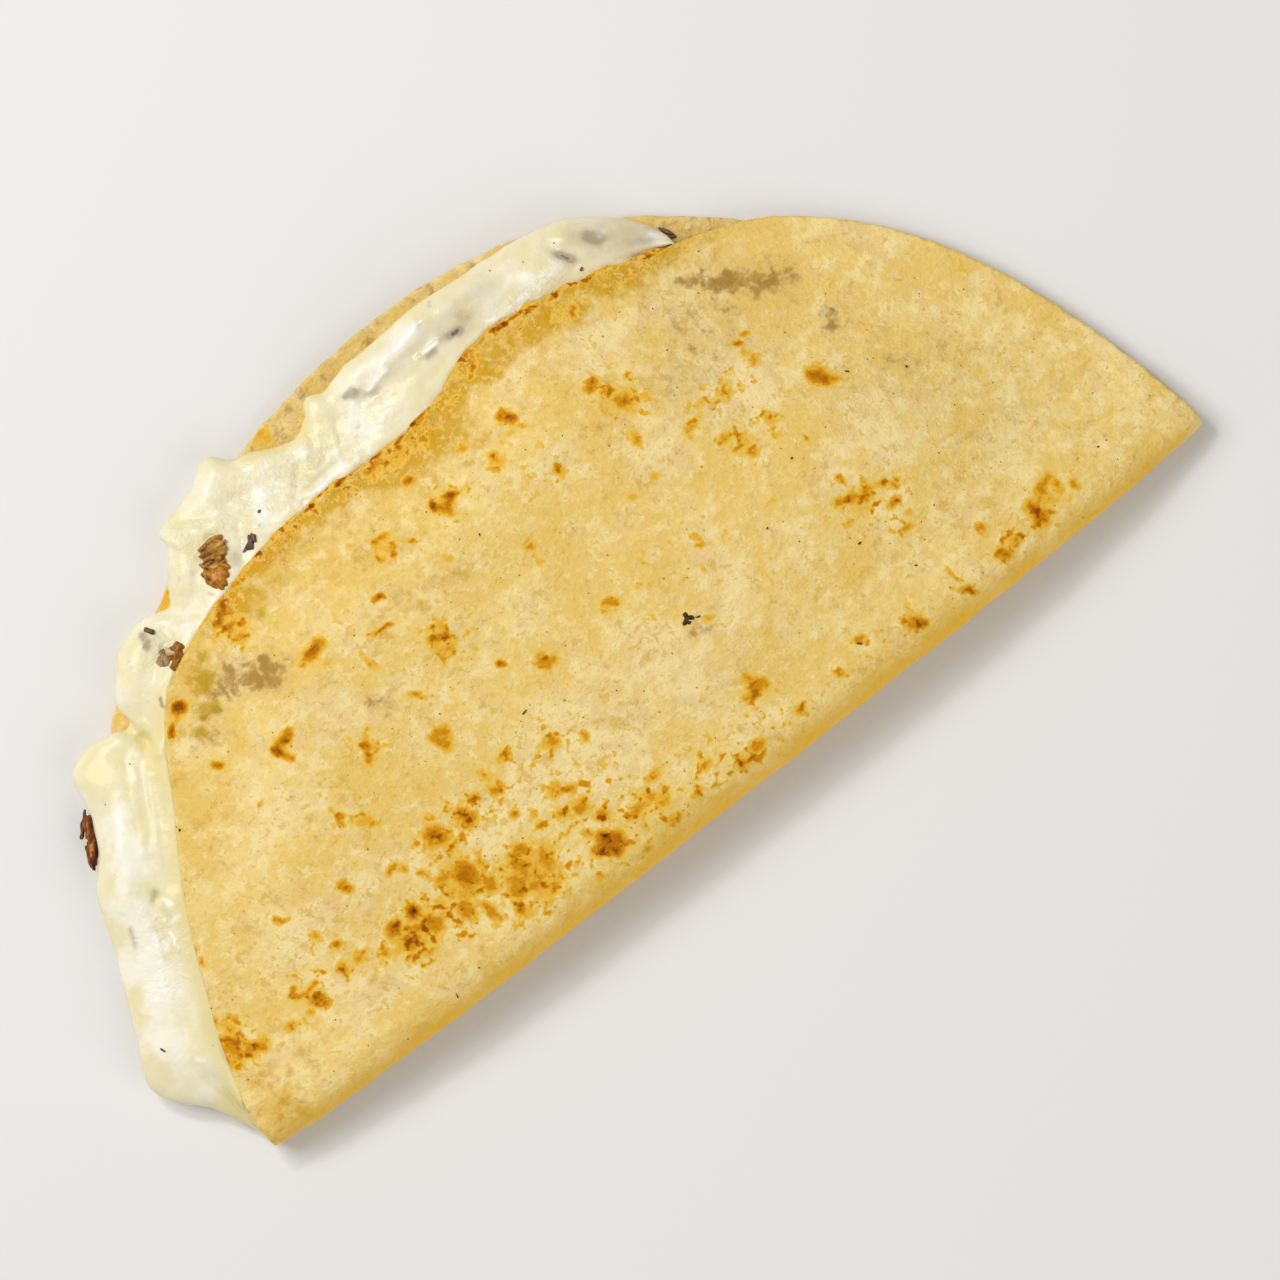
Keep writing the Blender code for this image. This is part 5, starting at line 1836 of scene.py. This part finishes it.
@dataclass(frozen=True)
class Fillings:
    """The meat, the mushroom and the small bits in the cheese, and the specks on the tortilla."""

    torn: MeatPiece = MeatPiece(
        "torn_meat", BrownedMeat(
            "torn_meat", (0.70, 0.40, 0.105), (0.42, 0.18, 0.022), (0.10, 0.033, 0.001), 0.5, 0.1, 0.8),
        "meat", -6, 3, nodes=("meat_chunk",), strands=bundle(
            (-60.4, 109.7, -53.7, 109.3, 1.6, 0.3), (-60.5, 108.5, -53.8, 108.1, 1.6, 0.7),
            (-60.8, 107.3, -54.4, 106.8, 1.7, 0.8), (-60.6, 106.2, -55.2, 105.6, 1.6, 0.6),
            (-59.8, 105.1, -56.2, 104.5, 1.5, 0.4), (-60.9, 109, -57, 106, 1.2, 1),
            (-57.6, 110, -54.3, 107, 1.2, 0.9), (-59.2, 108, -56.4, 104.6, 1.1, 1),
            (-60, 107.4, -54.8, 107.3, 4.6, -1.6), (-61.4, 106.4, -58.2, 104.6, 1.4, 0.5),
            (-61.8, 107.4, -59.4, 105.4, 1.2, 0.5),
        ))
    fatty: MeatPiece = MeatPiece(
        "fatty_meat", BrownedMeat(
            "fatty_meat", (0.68, 0.33, 0.050), (0.44, 0.165, 0.003), (0.13, 0.040, 0.0005), 0.4, 0.2, 0.9),
        "meat", -82, 4, nodes=("meat_chunk",), strands=bundle(
            (-62.3, 106, -61.8, 100.8, 1.6, 0.3), (-61.2, 106.2, -60.5, 99.8, 1.7, 0.5),
            (-60, 106, -59.2, 100, 1.7, 0.6), (-58.8, 105.6, -58, 101.4, 1.6, 0.5),
            (-57.6, 105.2, -57, 102.6, 1.3, 0.2), (-62.9, 104, -60, 101.6, 1.3, 0.7),
            (-60.4, 103.6, -57.8, 102.4, 1.3, 0.8), (-60.9, 104.2, -60, 101.4, 4.2, -1.4),
        ))
    strip: MeatPiece = MeatPiece(
        "crisped_meat", BrownedMeat(
            "crisped_meat", (0.54, 0.205, 0.022), (0.17, 0.042, 0.004), (0.035, 0.007, 0.002),
            0.42, 0.12, 0.9),
        "browned_meat", 58, 5, nodes=("browned_strip",), voxel=0.22, level=0, strands=bundle(
            (-119.6, 69.9, -117.2, 75.6, 0.9, 4.2, 4.8), (-119.2, 69.7, -116.5, 76, 1, 4.9, 5.4),
            (-118.4, 70.2, -115.8, 75.4, 1.1, 5.5, 5.8), (-117.8, 70.6, -114.8, 75.6, 1.5, 5.2, 5.6),
            (-117.7, 76.9, -112.5, 81.8, 0.8, 4, 4.8), (-117.5, 76.5, -112.3, 81.5, 0.9, 4.9, 5.6),
            (-116.6, 76.2, -112.6, 80.4, 1.1, 5.7, 6.2), (-116.2, 75.4, -112.2, 79.6, 1.3, 5.6, 6),
            (-116.8, 74.2, -113.6, 78.4, 1.2, 5, 5.6), (-116.4, 72.6, -111.6, 80.2, 2.6, 4.4, 4.8),
        ))
    cap: MeatPiece = MeatPiece(
        "mushroom_cap", BrownedMeat(
            "mushroom_cap", (0.43, 0.25, 0.08), (0.30, 0.115, 0.008), (0.14, 0.048, 0.001), 0.5, 0.1, 0.9),
        "meat", 40, 6, voxel=0.2, ridge=0.16, strands=bundle(
            (-79.4, 95.2, -75.6, 95.8, 3.4, -0.8), (-79.8, 93, -78.1, 94.8, 1.4, 0.2),
            (-78.2, 95, -76.8, 94, 1.5, 0.2), (-77.4, 93.9, -75.6, 96.8, 2.4, 0.1, None, 0.8),
            (-76.4, 95.4, -74.9, 96.9, 2.1, 0.1, None, 0.8), (-76.4, 97.3, -75, 96.4, 1.6, 0.1),
        ))
    gills: MeatPiece = MeatPiece(
        "mushroom_gills", BrownedMeat(
            "mushroom_gills", (0.55, 0.42, 0.24), (0.36, 0.235, 0.10), (0.20, 0.115, 0.035), 0.5, 0.1, 0.9),
        "meat", 60, 8, voxel=0.18, ridge=0.12, strands=bundle(
            (-81, 95, -79.9, 97.3, 1.9, -0.1, None, 0.7), (-80.3, 94.6, -79, 96.4, 1.9, 0.1),
            (-80.9, 95.8, -78.6, 96.4, 3.2, -0.7), (-79.9, 97.6, -78.4, 97.9, 1.4, 0.1),
        ))
    stem: MeatPiece = MeatPiece(
        "mushroom_stem", BrownedMeat(
            "mushroom_stem", (0.74, 0.52, 0.32), (0.60, 0.40, 0.20), (0.38, 0.21, 0.075), 0.5, 0.1, 0.9),
        "meat", -60, 7, voxel=0.18, ridge=0.14, strands=bundle(
            (-78.2, 97.7, -77.6, 95.5, 1.7, 0.9), (-79, 96.6, -77.5, 96.3, 1.5, 0.95),
        ))
    burnt: Crumb = Crumb("burnt_speck", (0.030, 0.016, 0.006), (0.10, 0.058, 0.02), 0.9)

    def build(self, cheese: bpy.types.Object, tortilla: bpy.types.Object) -> list[bpy.types.Object]:
        """Builds and dresses the meat, the mushroom, the small bits and the burnt specks.

        Args:
            cheese: The cheese, which the bits lie in.
            tortilla: The tortilla, which the burnt specks lie on.

        Returns:
            The dressed pieces.
        """
        ground = Surface(cheese)
        parts = (self.torn, self.fatty, self.strip, self.cap, self.gills, self.stem)
        pieces = [part.build(ground) for part in parts]
        for kind, bits in MORSELS.items():
            pieces.append(self._bits(kind.name.lower() + "_bits", bits, ground, kind.value, "meat"))
        specks = self._bits("burnt_specks", BURNT_SPECKS, Surface(tortilla), self.burnt, "tortilla")
        return [*pieces, specks]

    @staticmethod
    def _bits(
        name: str, bits: tuple[Morsel, ...], surface: Surface, finish: BrownedMeat | Crumb, slot: str
    ) -> bpy.types.Object:
        """Joins small bits of one kind into a piece.

        Args:
            name: The piece's name.
            bits: The bits.
            surface: What they lie on.
            finish: Their finish.
            slot: The record's slot for it.

        Returns:
            The dressed piece.
        """
        points, heights_for_shading, faces = [], [], []
        for number, bit in enumerate(bits):
            shape, top = lump(bit, surface, seed=500 + number)
            first, tip = number * len(shape), (number + 1) * len(shape) - 2
            faces += capped(loops_of(LUMP_LOOPS, LUMP_SIDES, first), tip, tip + 1)
            points.append(shape)
            heights_for_shading.append(top)
        piece = solid_piece(name, np.concatenate(points), faces)
        # The bits are painted paler towards their tops and darker round their lower sides, as painted light
        # and shade, through the field "fibre"
        paint(piece, "fibre", 0.30 + 0.28 * np.clip(np.concatenate(heights_for_shading), 0, 1) ** 2)
        dress(piece, finish.material(), slot)
        return piece


# Scattered crumbs


@dataclass(frozen=True)
class Scatter:
    """Tiny bits scattered over a surface by Geometry Nodes, thickest where a field says so."""

    name: str
    density: float
    size: float
    flatness: float
    seed: int
    finish: Crumb
    slot: str
    spread: float = 0.55

    def build(self, ground: bpy.types.Object, values: Array) -> bpy.types.Object:
        """Scatters the bits.

        Args:
            ground: The piece that they lie on.
            values: How thick they lie at its points, from 0 to 1.

        Returns:
            The dressed piece.
        """
        carrier = add_object(self.name + "_ground", ground.data.copy())
        paint(carrier, self.name, values)
        material = self.finish.material()
        modifier = carrier.modifiers.new("scatter", "NODES")
        modifier.node_group = self._tree(material)
        wanted = {"Density": self.density, "Size": self.size * MM, "Seed": self.seed}
        for item in modifier.node_group.interface.items_tree:
            if item.name in wanted:
                modifier[item.identifier] = wanted[item.name]
        piece = settled(carrier, self.name)
        dress(piece, material, self.slot)
        return piece

    def _tree(self, material: bpy.types.Material) -> bpy.types.NodeTree:
        """Builds the nodes that scatter, size, turn and realize the bits.

        Args:
            material: The bits' material.

        Returns:
            The node group.
        """
        tree = bpy.data.node_groups.new(self.name, "GeometryNodeTree")
        for name, way, kind in (
            ("Geometry", "INPUT", "Geometry"), ("Geometry", "OUTPUT", "Geometry"),
            ("Density", "INPUT", "Float"), ("Size", "INPUT", "Float"), ("Seed", "INPUT", "Int"),
        ):
            tree.interface.new_socket(name, in_out=way, socket_type="NodeSocket" + kind)
        nodes = Nodes(tree)
        ground = nodes.node("NodeGroupInput", {}, {}, "Geometry")
        seed, low, high = ground.beside("Seed"), 1 - self.spread, 1 + self.spread
        share = nodes.node("GeometryNodeInputNamedAttribute", {"data_type": "FLOAT"}, {"Name": self.name})
        spots = nodes.node(
            "GeometryNodeDistributePointsOnFaces", {},
            {"Mesh": ground, "Density": ground.beside("Density") * share, "Seed": seed})
        sizes = nodes.node("FunctionNodeRandomValue", {"data_type": "FLOAT_VECTOR"}, {
            0: (low, 0.6 * low, self.flatness * low), 1: (high, high, self.flatness * high), "Seed": seed})
        scale = nodes.node(
            "ShaderNodeVectorMath", {"operation": "SCALE"}, {0: sizes, "Scale": ground.beside("Size")})
        angle = nodes.node("FunctionNodeRandomValue", {"data_type": "FLOAT"}, {3: 2 * math.pi}, 1)
        spin = nodes.node("FunctionNodeAxisAngleToRotation", {}, {"Axis": (0, 0, 1), "Angle": angle})
        turn = nodes.node(
            "FunctionNodeRotateRotation", {"rotation_space": "LOCAL"},
            {"Rotation": spots.beside("Rotation"), "Rotate By": spin})
        bit = nodes.node("GeometryNodeMeshIcoSphere", {}, {"Radius": 1.0, "Subdivisions": 1})
        put = nodes.node(
            "GeometryNodeInstanceOnPoints", {},
            {"Points": spots, "Instance": bit, "Rotation": turn, "Scale": scale})
        real = nodes.node("GeometryNodeRealizeInstances", {}, {0: put})
        coated = nodes.node("GeometryNodeSetMaterial", {}, {0: real, "Material": material})
        nodes.feed(tree.nodes.new("NodeGroupOutput").inputs[0], coated)
        return tree


@dataclass(frozen=True)
class Crumbs:
    """The crisp crumbs on the fried rim, the flecks and specks on the top flap, and the pepper."""

    fold: Fold = Fold()
    rim: Scatter = Scatter(
        "rim_crumbs", 700000.0, 0.36, 0.6, 4,
        Crumb("crisp_crumb", (0.62, 0.32, 0.02), (0.80, 0.54, 0.14), 0.5), "tortilla")
    toast: Scatter = Scatter(
        "toast_flecks", 60000.0, 0.26, 0.25, 7,
        Crumb("toast_fleck", (0.42, 0.18, 0.010), (0.60, 0.30, 0.025), 0.6), "tortilla")
    dough: Scatter = Scatter(
        "dough_specks", 12000.0, 0.19, 0.3, 9,
        Crumb("dough_speck", (0.22, 0.14, 0.055), (0.40, 0.27, 0.10), 0.7), "tortilla")
    pepper: Scatter = Scatter(
        "pepper_flecks", 3000.0, 0.18, 0.45, 11,
        Crumb("pepper_fleck", (0.10, 0.08, 0.05), (0.26, 0.20, 0.12), 0.6), "cheese")

    def build(self, tortilla: bpy.types.Object, cheese: bpy.types.Object) -> list[bpy.types.Object]:
        """Scatters them all.

        Args:
            tortilla: The tortilla.
            cheese: The cheese.

        Returns:
            The dressed pieces.
        """
        dough, angle, inside, up = self._places(tortilla)
        on_top = up & (dough[:, 2] > self.fold.top_rim_level.at(angle) - 0.3)
        fried = Span(57, 128, 6, 6).over(angle) * near(np.maximum(inside, 0) - 1.8, 2.4)
        clumps = np.clip(SmoothNoise(5.0, 91, 2).at(dough) * 1.6, 0, 1)
        toasted = np.clip(strongest(TOP_TOAST, dough[:, 0], dough[:, 1]) - 0.15, 0, 1)
        *_, inside, up = self._places(cheese)
        return [
            self.rim.build(tortilla, fried * clumps * on_top),
            self.toast.build(tortilla, toasted * on_top),
            self.dough.build(tortilla, on_top),
            self.pepper.build(cheese, up & (inside < -1.0)),
        ]

    def _places(self, piece: bpy.types.Object) -> tuple[Array, ...]:
        """Measures where a piece's points are.

        Args:
            piece: The piece.

        Returns:
            The points, their angles, how far inside the top flap's rim they are, and whether they
            face up.
        """
        points = read_points(piece, "co") / MM + (0, FOLD_TO_ORIGIN, 0)
        angle, away = polar(points[:, 0], points[:, 1])
        up = read_points(piece, "normal")[:, 2] > 0.5
        return points, angle, self.fold.top_rim.at(angle) - away, up


# The studio


@dataclass(frozen=True)
class Lamp:
    """A square light, by its name, its place from what it lights in metres, its side and its watts."""

    name: str
    place: tuple[float, float, float]
    side: float
    power: float

    def hang(self, aim: Vector) -> None:
        """Hangs the light.

        Args:
            aim: What it points at.
        """
        lamp = bpy.data.lights.new(self.name, "AREA")
        lamp.size, lamp.energy = self.side, self.power
        light = add_object(self.name, lamp)
        light.location = aim + Vector(self.place)
        light.rotation_euler = Vector(self.place).to_track_quat("Z", "Y").to_euler()


@dataclass(frozen=True)
class Studio:
    """The plain floor, the soft lights and the camera, which looks straight down."""

    aim: tuple[float, float] = (2.25, 37.4)
    view_width: float = 272.0
    camera_height: float = 4000.0
    sensor: float = 36.0
    fold_turn: float = 37.94
    floor_colour: Colour = (0.80, 0.79, 0.77)
    floor_reach: float = 3.0
    floor_level: float = -0.0002
    sky: float = 0.34
    lamps: tuple[Lamp, ...] = (
        Lamp("key_light", (-0.60, 1.00, 1.25), 0.9, 15.4),
        Lamp("spark_light", (-0.10, 0.80, 0.95), 0.16, 3.0),
        Lamp("fill_light", (0.3, -1.2, 0.9), 1.4, 8.0),
    )

    def build(self) -> None:
        """Sets up everything that isn't part of the quesadilla."""
        scene = bpy.context.scene
        scene.view_settings.view_transform = "Standard"
        aim = Vector((self.aim[0] * MM, (self.aim[1] - FOLD_TO_ORIGIN) * MM, 0.0))
        lens = bpy.data.cameras.new("camera")
        lens.sensor_width = self.sensor
        lens.lens = self.sensor * self.camera_height / self.view_width
        scene.camera = add_object("camera", lens)
        scene.camera.location = aim + Vector((0, 0, self.camera_height * MM))
        scene.camera.rotation_euler = (0, 0, -math.radians(self.fold_turn))
        self._floor()
        for lamp in self.lamps:
            lamp.hang(aim)
        scene.world = bpy.data.worlds.new("world")
        scene.world.use_nodes = True
        background = scene.world.node_tree.nodes["Background"]
        background.inputs["Color"].default_value = (1.0, 1.0, 1.0, 1.0)
        background.inputs["Strength"].default_value = self.sky

    def _floor(self) -> None:
        """Lays the pale floor just under the quesadilla."""
        mesh = bpy.data.meshes.new("floor")
        reach = self.floor_reach
        corners = ((-reach, -reach), (reach, -reach), (reach, reach), (-reach, reach))
        mesh.from_pydata([(x, y, self.floor_level) for x, y in corners], [], [(0, 1, 2, 3)])
        floor = add_object("floor", mesh)
        mesh.materials.append(Shader("pale_floor").finish(Base_Color=self.floor_colour, Roughness=0.8))


def main() -> None:
    """Builds the quesadilla's pieces and the studio round them."""
    logging.basicConfig(level=logging.INFO, format="%(name)s: %(message)s")
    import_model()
    fold = Fold()
    tortilla, cheese = Tortilla(fold).build(), Cheese(fold).build()
    bits = Fillings().build(cheese, tortilla) + Crumbs(fold).build(tortilla, cheese)
    for piece in (tortilla, cheese, *bits):
        log.info("%s: %d faces", piece.name, len(piece.data.polygons))
    Studio().build()


if __name__ == "__main__":
    main()
